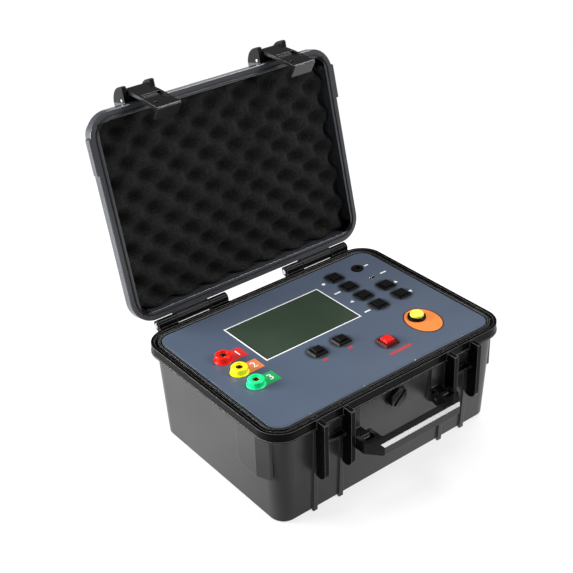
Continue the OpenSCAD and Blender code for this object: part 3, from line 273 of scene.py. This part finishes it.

# %% [markdown]
# ## Two surfaces on one moulding
# The walls of the base mirror the white ground as a soft grey. The rounded band round the
# rim and the fins are the same plastic, but they are painted near black as shade, with a weaker
# reflection, so that they stay black. One material holds both: a Mix Shader chooses between them
# by the height on the case and by how far a point stands in front of the wall. Each half is
# little more than a dark colour under a clear reflection, with a painted highlight along its
# edges, because black plastic gets nearly all its light from what it mirrors. The lid does the
# same with its inside.

# %% Shells with two surfaces
def two_surfaces(finish, chooser, first, second):
    """Mixes two plain shaders. Each is a colour, a painted edge highlight colour, a roughness and a mirror."""
    slow, fine = finish.noise(14, 4), finish.noise(900, 2, 0.6)
    highlight_edge = finish.edge_mask(0.0006, 16)
    round_normal = finish.round_edge(0.0007, 16)
    shaders = finish.surface, finish.nodes.new("ShaderNodeBsdfPrincipled")
    for shader, (colour, edge, rough, mirror) in zip(shaders, (first, second)):
        dark, light = (tuple(c * m for c in colour) for m in (0.85, 1.15))
        base = finish.tint(slow.smooth(0.3, 0.7), dark, light)
        # Painted highlight: the edges are lightened towards the second colour.
        finish.feed(shader.inputs["Base Color"], finish.tint(highlight_edge * 0.6, base, edge))
        finish.feed(shader.inputs["Roughness"], rough + (slow - 0.5) * 0.1 + (fine - 0.5) * 0.06)
        finish.feed(shader.inputs["Normal"], finish.bump(fine, 0.00002, round_normal))
        shader.inputs["Specular IOR Level"].default_value = mirror
    finish.mix_in(chooser, *shaders)
    keep(finish)


# %% The base: grey walls, and a band and fins painted black as shade
band_bottom = 0.0948  # m above the ground, where the rim's band begins
fin_front = 0.0992  # m before the middle, in front of the wall, where only fins are
case = Finish("case_plastic")
on_band = case.axis("Z").smooth(band_bottom, band_bottom + 0.0006)
on_fin = (0 - case.axis("Y")).smooth(fin_front, fin_front + 0.0004)
# The band and the fins are painted near black as shade, with a weaker mirror than the walls.
painted_dark_parts = case.maximum(on_band, on_fin)
# The second colour of each surface is its painted edge highlight.
grey_wall = ((0.022, 0.022, 0.0225), (0.16, 0.16, 0.165), 0.34, 0.5)
band_painted_dark = ((0.003, 0.003, 0.003), (0.34, 0.34, 0.34), 0.25, 0.07)
two_surfaces(case, painted_dark_parts, grey_wall, band_painted_dark)

# %% [markdown]
# ## Metal
# Pins, screws and sockets are turned parts. Metallic at 1 with a roughness that is broken by
# noise reads as plated steel or brass without any picture of a texture.

# %% Metal recipe
def metal(name, colour, roughness):
    """Bare metal whose shine varies in small patches."""
    finish = Finish(name)
    fine = finish.noise(600, 3)
    slow = finish.noise(60, 3)
    shade = tuple(c * 0.82 for c in colour)
    base = finish.tint(slow.smooth(0.35, 0.65), shade, colour)
    rough = roughness + (fine - 0.5) * 0.2
    normal = finish.bump(fine, 0.00001, finish.round_edge(0.0002))
    finish.shine(Base_Color=base, Roughness=rough, Normal=normal, Metallic=1.0)
    keep(finish)


metal("steel", (0.66, 0.66, 0.68), 0.28)
metal("brass", (0.80, 0.60, 0.28), 0.25)
metal("core_iron", (0.25, 0.25, 0.26), 0.5)

# %% [markdown]
# ## The printed film of the panel
# The panel is covered by a slate-blue printed film with a very fine satin texture. It is not
# glossy, but at a flat angle it still picks up the dark foam of the lid, which is why its back
# looks darker than its front. That comes by itself from a roughness near 0.36. Round each key
# the film is painted darker as shade, with a soft outer edge, which a distance from the key's
# middle gives.

# %% Panel film
key_places = (
    (0.0686, 0.0006), (0.0686, 0.0226), (0.0686, 0.0446), (0.0686, 0.0666), (0.0980, 0.0226),
    (0.0980, 0.0006), (-0.0286, -0.0236), (-0.0004, -0.0236), (0.0304, -0.0530),
)
# Painted shade round each key: full up to the first distance, fading over the second.
key_shade_core, key_shade_fade = 0.0082, 0.0055  # m: dark up to the first, then fading over the second


def printed_film():
    finish = Finish("panel_film")
    fine = finish.noise(2600, 2)
    slow = finish.noise(9, 3)
    base = finish.tint(slow.smooth(0.3, 0.7), (0.064, 0.085, 0.126), (0.070, 0.093, 0.137))
    flat = finish.node(
        "ShaderNodeVectorMath", {"operation": "MULTIPLY"}, {0: finish.place(), 1: (1, 1, 0)}
    )
    for x, y in key_places:
        away = finish.node("ShaderNodeVectorMath", {"operation": "DISTANCE"},
                           {0: flat, 1: (x, y, 0)}, "Value")
        outside = away.smooth(key_shade_core, key_shade_core + key_shade_fade)
        # Painted shade round the key.
        base = finish.tint(0.85 - outside * 0.85, base, (0.01, 0.011, 0.013))
    normal = finish.bump(fine, 0.000012, finish.round_edge(0.0002))
    rough = 0.36 + (slow - 0.5) * 0.08 + (fine - 0.5) * 0.06
    finish.shine(Base_Color=base, Roughness=rough, Normal=normal, Specular_IOR_Level=0.4)
    keep(finish)


printed_film()

# %% [markdown]
# ## Inks
# Screen-printed ink lies on the film as a dense, slightly uneven coat. It needs no bump, only a
# fine noise in its colour and its gloss, so one short recipe serves all eight colours.

# %% Inks of the printed marks
def ink(name, colour, roughness=0.4):
    """A dense printed colour with a slightly uneven gloss."""
    finish = Finish(name)
    fine = finish.noise(1800, 2)
    shade = tuple(c * 0.9 for c in colour)
    base = finish.tint(fine.smooth(0.3, 0.7), shade, colour)
    finish.shine(Base_Color=base, Roughness=roughness + (fine - 0.5) * 0.1)
    keep(finish)


ink("white_ink", (0.82, 0.83, 0.84))
ink("black_ink", (0.012, 0.012, 0.013), 0.25)
ink("red_ink", (0.56, 0.020, 0.018))
ink("dull_red_ink", (0.42, 0.035, 0.035))
ink("orange_ink", (0.86, 0.23, 0.035))
ink("amber_ink", (0.66, 0.20, 0.065))
ink("green_ink", (0.006, 0.33, 0.085))
ink("rim_ink", (0.05, 0.012, 0.008))

# %% [markdown]
# ## The display
# A window lies flush in the panel over the dark green glass of an unlit display. The two are
# bonded, so the window itself looks green and lets only a little light through to the rest.

# %% Display finishes
def display_glass():
    finish = Finish("display")
    slow = finish.noise(14, 2)
    fine = finish.noise(3000, 1)
    base = finish.tint(slow.smooth(0.3, 0.7), (0.034, 0.052, 0.035), (0.044, 0.066, 0.046))
    finish.shine(Base_Color=base, Roughness=0.3 + (fine - 0.5) * 0.1)
    keep(finish)


def window_glass():
    finish = Finish("window_glass")
    slow = finish.noise(14, 2)
    base = finish.tint(slow.smooth(0.3, 0.7), (0.032, 0.050, 0.033), (0.042, 0.064, 0.044))
    finish.shine(
        Base_Color=base, Roughness=0.10 + slow * 0.06, Transmission_Weight=0.08, IOR=1.45
    )
    keep(finish)


display_glass()
window_glass()

# %% [markdown]
# ## The lid's own coordinates
# The lid stands open at the angle that its hinge still has to turn to shut. Pieces of the lid
# are easier to describe with the lid shut, so one matrix turns a shut place into the open one.

# %% From the shut lid to the open lid
joints = {j["name"]: j for j in frame["joints"]}
hinge_point = Vector(joints["lid_hinge"]["pos_m"])
open_angle = math.radians(joints["lid_hinge"]["range_deg"][1])
lid_turn = Matrix.Rotation(-open_angle, 4, "X")
lid_frame = Matrix.Translation(hinge_point) @ lid_turn @ Matrix.Translation(-hinge_point)
seam = 0.1054  # m above the ground, where lid and base meet
print("lid stands open by", round(math.degrees(open_angle)), "degrees")

# %% [markdown]
# ## The lid, light outside and painted black inside
# The lid's shell is one moulding too. Its outside mirrors the ground as the walls do, and its
# inside, behind the foam, is painted black as shade. Height alone can't tell them apart on a lid
# that stands open, so the masks measure each point along the axes of the shut lid. The ears that
# hold the latches reach past the front edge and the hinge knuckles past the back edge, and both
# are painted black as shade as well.

# %% Lid finish
def shut_lid_axis(finish, axis):
    """How far a point of the open lid lies along y or z when the lid is shut."""
    which = "xyz".index(axis)
    along = lid_turn.to_3x3() @ Vector([float(k == which) for k in range(3)])
    offset = finish.node(
        "ShaderNodeVectorMath", {"operation": "SUBTRACT"},
        {0: finish.place(), 1: tuple(hinge_point)},
    )
    return hinge_point[which] + finish.node(
        "ShaderNodeVectorMath", {"operation": "DOT_PRODUCT"}, {0: offset, 1: tuple(along)},
        "Value",
    )


# The hollow of the shut lid ends at these distances, in metres; the ears and the hinge knuckles, which are painted
# black as shade, begin at the last.
hollow_x, hollow_y, hollow_top, ear_front = 0.1292, 0.0914, 0.1190, 0.1009
lid = Finish("lid_plastic")
past_x = lid.axis("X").abs().smooth(hollow_x, hollow_x + 0.0004)
past_y = shut_lid_axis(lid, "y").abs().smooth(hollow_y, hollow_y + 0.0004)
past_top = shut_lid_axis(lid, "z").smooth(hollow_top, hollow_top + 0.0004)
outside = lid.maximum(lid.maximum(past_x, past_y), past_top)
not_painted_dark_ear_or_knuckle = 1 - shut_lid_axis(lid, "y").abs().smooth(ear_front, ear_front + 0.0002)
# The inside, the ears and the knuckles get the near-black first surface: painted shade. The second colour of each
# surface is a painted edge highlight.
inside_painted_dark = ((0.003, 0.003, 0.003), (0.05, 0.05, 0.05), 0.35, 0.12)
light_outside = ((0.038, 0.041, 0.048), (0.34, 0.35, 0.37), 0.24, 0.6)
two_surfaces(lid, outside * not_painted_dark_ear_or_knuckle, inside_painted_dark, light_outside)

# %% [markdown]
# ## Dressing the solids
# Every solid of the frame names the finish it is made of, so one loop can dress them all. Only
# the pieces that got a finish of their own above are listed one by one.

# %% Give every solid its finish
node_finish = {
    "base_shell": "case_plastic", "lid_shell": "lid_plastic", "lid_seal": "rubber",
    "valve_seal": "rubber", "handle": "handle_plastic", "front_panel": "panel_plastic",
    "panel_film": "panel_film", "lcd_window": "window_glass", "lcd_glass": "display",
}
slots = {s["node"]: s["material_slot"] for s in frame["record"]["subparts"]}
for name, solid in frame["nodes"].items():
    finish_name = node_finish.get(name, slots[name])
    solid.data.materials.clear()
    solid.data.materials.append(finishes.get(finish_name, finishes["black_plastic"]))
print("dressed", len(frame["nodes"]), "solids")

# %% [markdown]
# ## The egg-crate foam
# The lid is lined with black foam cut into peaks and pits on a staggered grid. The surface is a
# product of two cosines, which gives exactly that stagger. A grid of points follows the
# formula, its outline has round corners, and small noise keeps the peaks from being too equal.

# %% A smooth mesh from points and faces
def soft_mesh(name, points, faces, finish, body):
    """A smooth-shaded piece in its finish, which moves with its body."""
    mesh = bpy.data.meshes.new(name)
    mesh.from_pydata(points, [], faces)
    mesh.update()
    piece = bpy.data.objects.new(name, mesh)
    bpy.context.scene.collection.objects.link(piece)
    mesh.materials.append(finishes[finish])
    for polygon in mesh.polygons:
        polygon.use_smooth = True
    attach(piece, body)
    return piece


# %% Foam finish
def foam_finish():
    """Open cells seen from afar: dark pores, grey walls and a few bright specks."""
    finish = Finish("foam")
    place = finish.place()
    cells = finish.node(
        "ShaderNodeTexVoronoi", {"feature": "F1"}, {"Vector": place, "Scale": 900}, "Distance"
    )
    fine = finish.noise(420, 5, 0.7)
    slow = finish.noise(35, 3)
    mottle = (fine - 0.5) * 0.8 + cells * 0.5
    base = finish.tint(
        mottle.smooth(-0.1, 0.55), (0.0035, 0.0035, 0.0035), (0.022, 0.022, 0.0215)
    )
    specks = (cells < 0.16) * (fine > 0.52)
    base = finish.tint(specks * 0.7, base, (0.11, 0.11, 0.105))
    height = cells * 0.6 + fine * 0.7
    normal = finish.bump(height, 0.0007)
    finish.shine(
        Base_Color=base, Roughness=0.92 + (slow - 0.5) * 0.1, Normal=normal,
        Specular_IOR_Level=0.05, Sheen_Weight=0.03, Sheen_Roughness=0.5,
    )
    keep(finish)


foam_finish()

# %% Size of the foam, all in metres
foam_half_x, foam_half_y, foam_corner = 0.1278, 0.0900, 0.0128
foam_pitch, foam_row = 0.0339, 0.0316  # from peak to peak along x and y
foam_x0, foam_y0 = 0.04525, -0.080  # a peak that the photograph shows
foam_peak, foam_bump = 0.0066, 0.012  # from the seam up to the peaks, and on to the pits
foam_jitter = 0.00016
foam_low, foam_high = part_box("lid_foam")
print("the foam fills", [round(v * 1000) for v in foam_high - foam_low], "mm")


# %% Shape of the foam
def round_plan(a, b, half_x, half_y, corner):
    """Moves a point of a square plan, from -1 to 1 each way, onto a round-cornered one."""
    x, y = abs(a) * half_x, abs(b) * half_y
    dx, dy = max(0, x - half_x + corner), max(0, y - half_y + corner)
    nx = x - dx + dx * math.sqrt(1 - (dy / corner) ** 2 / 2)
    ny = y - dy + dy * math.sqrt(1 - (dx / corner) ** 2 / 2)
    return math.copysign(nx, a), math.copysign(ny, b)


def foam_height(x, y):
    """0 on a peak and 1 in a pit. The pits are narrower than the peaks."""
    wave = math.cos(2 * math.pi * (x - foam_x0) / foam_pitch)
    wave *= math.cos(2 * math.pi * (y - foam_y0) / foam_row)
    return ((1 - wave) / 2) ** 1.7


def foam_front(columns, rows):
    """The face with the peaks and pits, as points row by row. Its jitter fades at the rim."""
    chance = random.Random(7)
    points = []
    for j in range(rows + 1):
        for i in range(columns + 1):
            jitter = chance.uniform(-1, 1) * foam_jitter
            a, b = 2 * i / columns - 1, 2 * j / rows - 1
            x, y = round_plan(a, b, foam_half_x, foam_half_y, foam_corner)
            depth = foam_height(x, y)
            swell = 1 + (0.5 - depth) * 0.011
            rim = min(1, (1 - max(abs(a), abs(b))) * 30)
            z = foam_peak + foam_bump * depth + jitter * rim
            points.append((x * swell, y * swell, seam + z))
    return points


# %% Sides and back of the foam
def make_foam(columns=216, rows=150):
    """Closes the front with sides and a back, and turns it all into the open lid."""
    points, faces = foam_front(columns, rows), []
    row = columns + 1
    for j in range(rows):
        for i in range(columns):
            k = j * row + i
            faces.append((k, k + row, k + row + 1, k + 1))
    edge = list(range(row)) + [j * row + columns for j in range(1, rows + 1)]
    edge += [rows * row + i for i in range(columns - 1, -1, -1)]
    edge += [j * row for j in range(rows - 1, 0, -1)]
    rings = [edge]
    # Two rings behind the edge: how deep each lies and how far it is drawn in.
    for depth, draw_in in ((0.022, 0.0015), (0.0345, 0.0128)):
        start = len(points)
        for k in edge:
            x, y, _ = points[k]
            points.append((x * (1 - draw_in / 0.128), y * (1 - draw_in / 0.09), seam + depth))
        rings.append(list(range(start, start + len(edge))))
    for upper, lower in zip(rings, rings[1:]):
        for k in range(len(edge)):
            m = (k + 1) % len(edge)
            faces.append((upper[k], upper[m], lower[m], lower[k]))
    faces.append(tuple(reversed(rings[-1])))
    opened = [lid_frame @ Vector(p) for p in points]
    return soft_mesh("foam_lining", opened, faces, "foam", "lid")


foam = make_foam()
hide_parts("lid_foam")
print("foam has", len(foam.data.polygons), "faces")

# %% [markdown]
# ## Printed marks
# Strips, frames, plain numbers, bars, dots and arrows are printed on the film. They could be
# masks in the film's shader, but each is made as a very thin plate of its own ink that lies on
# the film, which keeps its outline sharp at any distance.

# %% Flat plates
film_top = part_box("panel_film")[1].z
print("the film's top lies", round(film_top * 1000, 2), "mm above the ground")


def band_between(bm, one, other):
    """A closed band of quads between two loops with the same number of points."""
    for k in range(len(one)):
        m = (k + 1) % len(one)
        bm.faces.new((one[k], one[m], other[m], other[k]))


def plate(name, loops, finish, thick=0.00012):
    """A flat plate from one outline, or from an outline and the hole in it, in millimetres."""
    bm = bmesh.new()
    levels = []
    for z in (film_top, film_top + thick):
        levels.append([[bm.verts.new((x / 1000, y / 1000, z)) for x, y in loop] for loop in loops])
    for loop_low, loop_high in zip(*levels):
        band_between(bm, loop_low, loop_high)
    for level in levels:
        if len(loops) == 1:
            bm.faces.new(level[0])
        else:
            band_between(bm, *level)
    bmesh.ops.recalc_face_normals(bm, faces=bm.faces)
    mesh = bpy.data.meshes.new(name)
    bm.to_mesh(mesh)
    bm.free()
    mesh.materials.append(finishes[finish])
    piece = bpy.data.objects.new(name, mesh)
    bpy.context.scene.collection.objects.link(piece)
    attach(piece, "case_base")
    print("printed", name, "with", len(mesh.polygons), "faces")


# %% Outlines of the marks
def rectangle(cx, cy, w, d, corner=0.0, steps=5):
    """Corner points of a rectangle, with round corners if asked for."""
    points = []
    for sx, sy, start in ((1, 1, 0), (-1, 1, 90), (-1, -1, 180), (1, -1, 270)):
        x, y = cx + sx * (w / 2 - corner), cy + sy * (d / 2 - corner)
        for k in range(steps + 1 if corner else 1):
            angle = math.radians(start + 90 * k / steps)
            points.append((x + corner * math.cos(angle), y + corner * math.sin(angle)))
    return points


def oval(cx, cy, rx, ry, tilt=0.0, steps=64):
    """Points round an ellipse that is turned by tilt, in radians."""
    points = []
    for k in range(steps):
        angle = 2 * math.pi * k / steps
        x, y = rx * math.cos(angle), ry * math.sin(angle)
        points.append((
            cx + x * math.cos(tilt) - y * math.sin(tilt),
            cy + x * math.sin(tilt) + y * math.cos(tilt),
        ))
    return points


# %% [markdown]
# ### Frame of the display
# A white line runs round the window with a black line inside it. Both are rings between two
# rectangles with the same number of points, so their faces are simple quads.

# %% Display frame
window_x, window_y, window_w, window_d = -14.9, 28.9, 113.2, 66.5  # mm
outer, middle, inner = (
    rectangle(window_x, window_y, window_w + more, window_d + more) for more in (0.4, -2.2, -4.0)
)
plate("display_outline", [outer, middle], "white_ink")
plate("display_border", [middle, inner], "black_ink", thick=0.0001)

# %% [markdown]
# ### Strips beside the terminals
# Each terminal has a coloured strip beside it with a plain number on it. A number is a text
# curve with a little thickness, which Blender turns into a clean outline from its own font.

# %% A printed number
def number(name, text, x, y, size):
    """A flat text curve, centred on its place. Lengths are in metres."""
    curve = bpy.data.curves.new(name, "FONT")
    curve.body = text
    curve.size = size
    curve.align_x, curve.align_y = "CENTER", "CENTER"
    curve.extrude = 0.00004
    curve.materials.append(finishes["white_ink"])
    piece = bpy.data.objects.new(name, curve)
    bpy.context.scene.collection.objects.link(piece)
    piece.matrix_world = Matrix.Translation((x, y, film_top + 0.00016))
    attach(piece, "case_base")
    print("printed the number", text)


# %% Terminal strips
strip_from, strip_to, strip_depth = -100.6, -77.8, 15.6  # mm, from the terminals to the right
strips = (("red", "red_ink", 22.4), ("orange", "amber_ink", -2.1), ("green", "green_ink", -26.6))
for k, (colour, finish, y) in enumerate(strips):
    middle_x = (strip_from + strip_to) / 2
    strip = rectangle(middle_x, y, strip_to - strip_from, strip_depth)
    plate(f"strip_{colour}", [strip], finish)
    number(f"strip_number_{colour}", str(k + 1), -0.0845, y / 1000, 0.0115)

# %% [markdown]
# ### The oval behind the test button
# An orange oval with a thin dark line round it marks the most important button.

# %% Test oval
oval_x, oval_y, oval_tilt = 81.2, -47.6, math.radians(-7.5)
dark_oval = oval(oval_x, oval_y, 17.9, 22.0, oval_tilt)
orange_oval = oval(oval_x, oval_y, 16.5, 20.6, oval_tilt)
plate("test_oval_line", [dark_oval], "rim_ink", thick=0.00008)
plate("test_oval", [orange_oval], "orange_ink", thick=0.00014)

# %% [markdown]
# ### Symbols beside the keys
# Small white and red marks tell the keys apart. They all come from the same three outlines, so
# a table with one row for each mark is enough.

# %% Symbols
def arrow(cx, cy, size, turn):
    """A plain triangle that points along turn, in degrees."""
    points = []
    for k, reach in ((90, 1.0), (215, 0.9), (325, 0.9)):
        angle = math.radians(k + turn)
        points.append((cx + size * reach * math.cos(angle), cy + size * reach * math.sin(angle)))
    return points


marks = {
    "light": (oval(52.5, 64.5, 1.9, 1.9, steps=24), "white_ink"),
    "memory": (rectangle(52.3, 42.8, 7.6, 1.8), "white_ink"),
    "return": (arrow(52.5, 21.2, 2.6, 90), "white_ink"),
    "set": (rectangle(52.3, -1.3, 7.2, 1.8), "white_ink"),
    "charge": (rectangle(109.8, 65.2, 5.0, 1.8), "white_ink"),
    "data": (rectangle(113.2, 43.3, 7.6, 1.8), "white_ink"),
    "up": (arrow(109.8, 21.2, 2.8, 0), "white_ink"),
    "down": (arrow(109.0, -1.1, 2.8, 180), "white_ink"),
    "mode_left": (rectangle(-30.3, -37.2, 4.6, 3.4, 0.8), "dull_red_ink"),
    "mode_right": (rectangle(-0.7, -37.3, 4.6, 3.4, 0.8), "dull_red_ink"),
    "power": (rectangle(31.7, -69.8, 26.0, 3.6, 0.8), "dull_red_ink"),
}
for name, (outline, finish) in marks.items():
    plate(f"mark_{name}", [outline], finish)

# %% [markdown]
# ## The floor
# The photograph has a plain white ground with a faint shadow. The floor is white by its own
# colour, and a glow that only camera and mirror rays see lifts it to pure white far from the
# case and nearly so close to it, where the shadow has to stay. Black plastic shows what it
# mirrors, so the glow has a painted dark patch, seen only in mirrors, where the front corner of
# the case mirrors the floor: painted shade that darkens the corner and the walls beside it.

# %% Floor finish
def distance_from(finish, point):
    """How far a point of the surface lies from a place, in metres."""
    return finish.node("ShaderNodeVectorMath", {"operation": "DISTANCE"},
                       {0: finish.place(), 1: point}, "Value")


def floor_finish():
    finish = Finish("studio_floor")
    slow = finish.noise(3, 2)
    base = finish.tint(slow.smooth(0.2, 0.8), (0.93, 0.93, 0.93), (0.95, 0.95, 0.95))
    finish.shine(Base_Color=base, Roughness=0.9)
    seen = finish.node("ShaderNodeLightPath", output="Is Camera Ray")
    mirrored = finish.node("ShaderNodeLightPath", output="Is Glossy Ray")
    far = distance_from(finish, (0, 0, 0)).smooth(0.35, 0.9)
    # Painted shade: near the front corner the glow that mirrors see drops, which darkens the case there.
    away_from_painted_dark_patch = distance_from(finish, (-0.20, -0.17, 0)).smooth(0.04, 0.24)
    level = finish.tint(finish.maximum(seen, away_from_painted_dark_patch), (0.10, 0.10, 0.10), (1, 1, 1))
    glow = finish.node("ShaderNodeEmission", None, {"Color": level, "Strength": 1.0})
    share = seen * (0.72 + far * 0.28) + mirrored * 0.88
    finish.mix_in(share, finish.surface, glow.socket.node)
    return finish.material


# %% Floor
bpy.ops.mesh.primitive_plane_add(size=30, location=(0, 0, -0.0002))
floor = bpy.context.object
floor.name = "studio_floor"
floor.data.materials.append(floor_finish())
print("floor", [round(v, 1) for v in floor.dimensions])

# %% [markdown]
# ## The room
# A plain world lights the case evenly from all sides, at a low level, because the lamps add
# most of the light. The same room must look white to the camera and through glass, and darker
# in mirrors, where it would wash out black plastic. Light Path tells these rays apart.

# %% World
world = bpy.data.worlds.new("studio_world")
bpy.context.scene.world = world
world.use_nodes = True
tree = world.node_tree
path = tree.nodes.new("ShaderNodeLightPath")
back = tree.nodes["Background"]
back.inputs["Color"].default_value = (1, 1, 1, 1)
room_levels = {"Is Glossy Ray": 0.12, "Is Transmission Ray": 1.0, "Is Camera Ray": 1.0}
room_light, strength = 0.30, None
for ray, level in room_levels.items():
    step = tree.nodes.new("ShaderNodeMix")
    tree.links.new(path.outputs[ray], step.inputs[0])
    step.inputs[2].default_value = room_light
    step.inputs[3].default_value = level
    if strength:
        tree.links.new(strength, step.inputs[2])
    strength = step.outputs[0]
tree.links.new(strength, back.inputs["Strength"])
print("room light", room_light, "and", room_levels)

# %% [markdown]
# ## Lamps
# The left wall is the lightest in the photograph, so the strongest lamp stands low on the left.
# Two weaker ones from the right brighten the panel and draw the light lines along the front.
# Area lamps are used, since their soft edges give the broad highlights of a studio.

# %% Lamps
def lamp(name, place, aim, size, power):
    """A rectangular lamp at a place, turned to its aim. The power is in watts."""
    data = bpy.data.lights.new(name, "AREA")
    data.shape = "RECTANGLE"
    data.size, data.size_y = size
    data.energy = power
    light = bpy.data.objects.new(name, data)
    light.location = place
    direction = Vector(aim) - Vector(place)
    light.rotation_euler = direction.to_track_quat("-Z", "Y").to_euler()
    bpy.context.scene.collection.objects.link(light)
    print(name, power, "W at", round(direction.length, 2), "m")


lamp("lamp_left", (-1.15, 0.75, 0.42), (-0.14, 0, 0.05), (0.9, 0.7), 54)
lamp("lamp_top", (0.75, 0.15, 1.5), (0, 0.1, 0.2), (0.7, 0.5), 16)
lamp("lamp_front", (0.75, -1.0, 0.92), (0, -0.12, 0.08), (0.5, 0.3), 12)
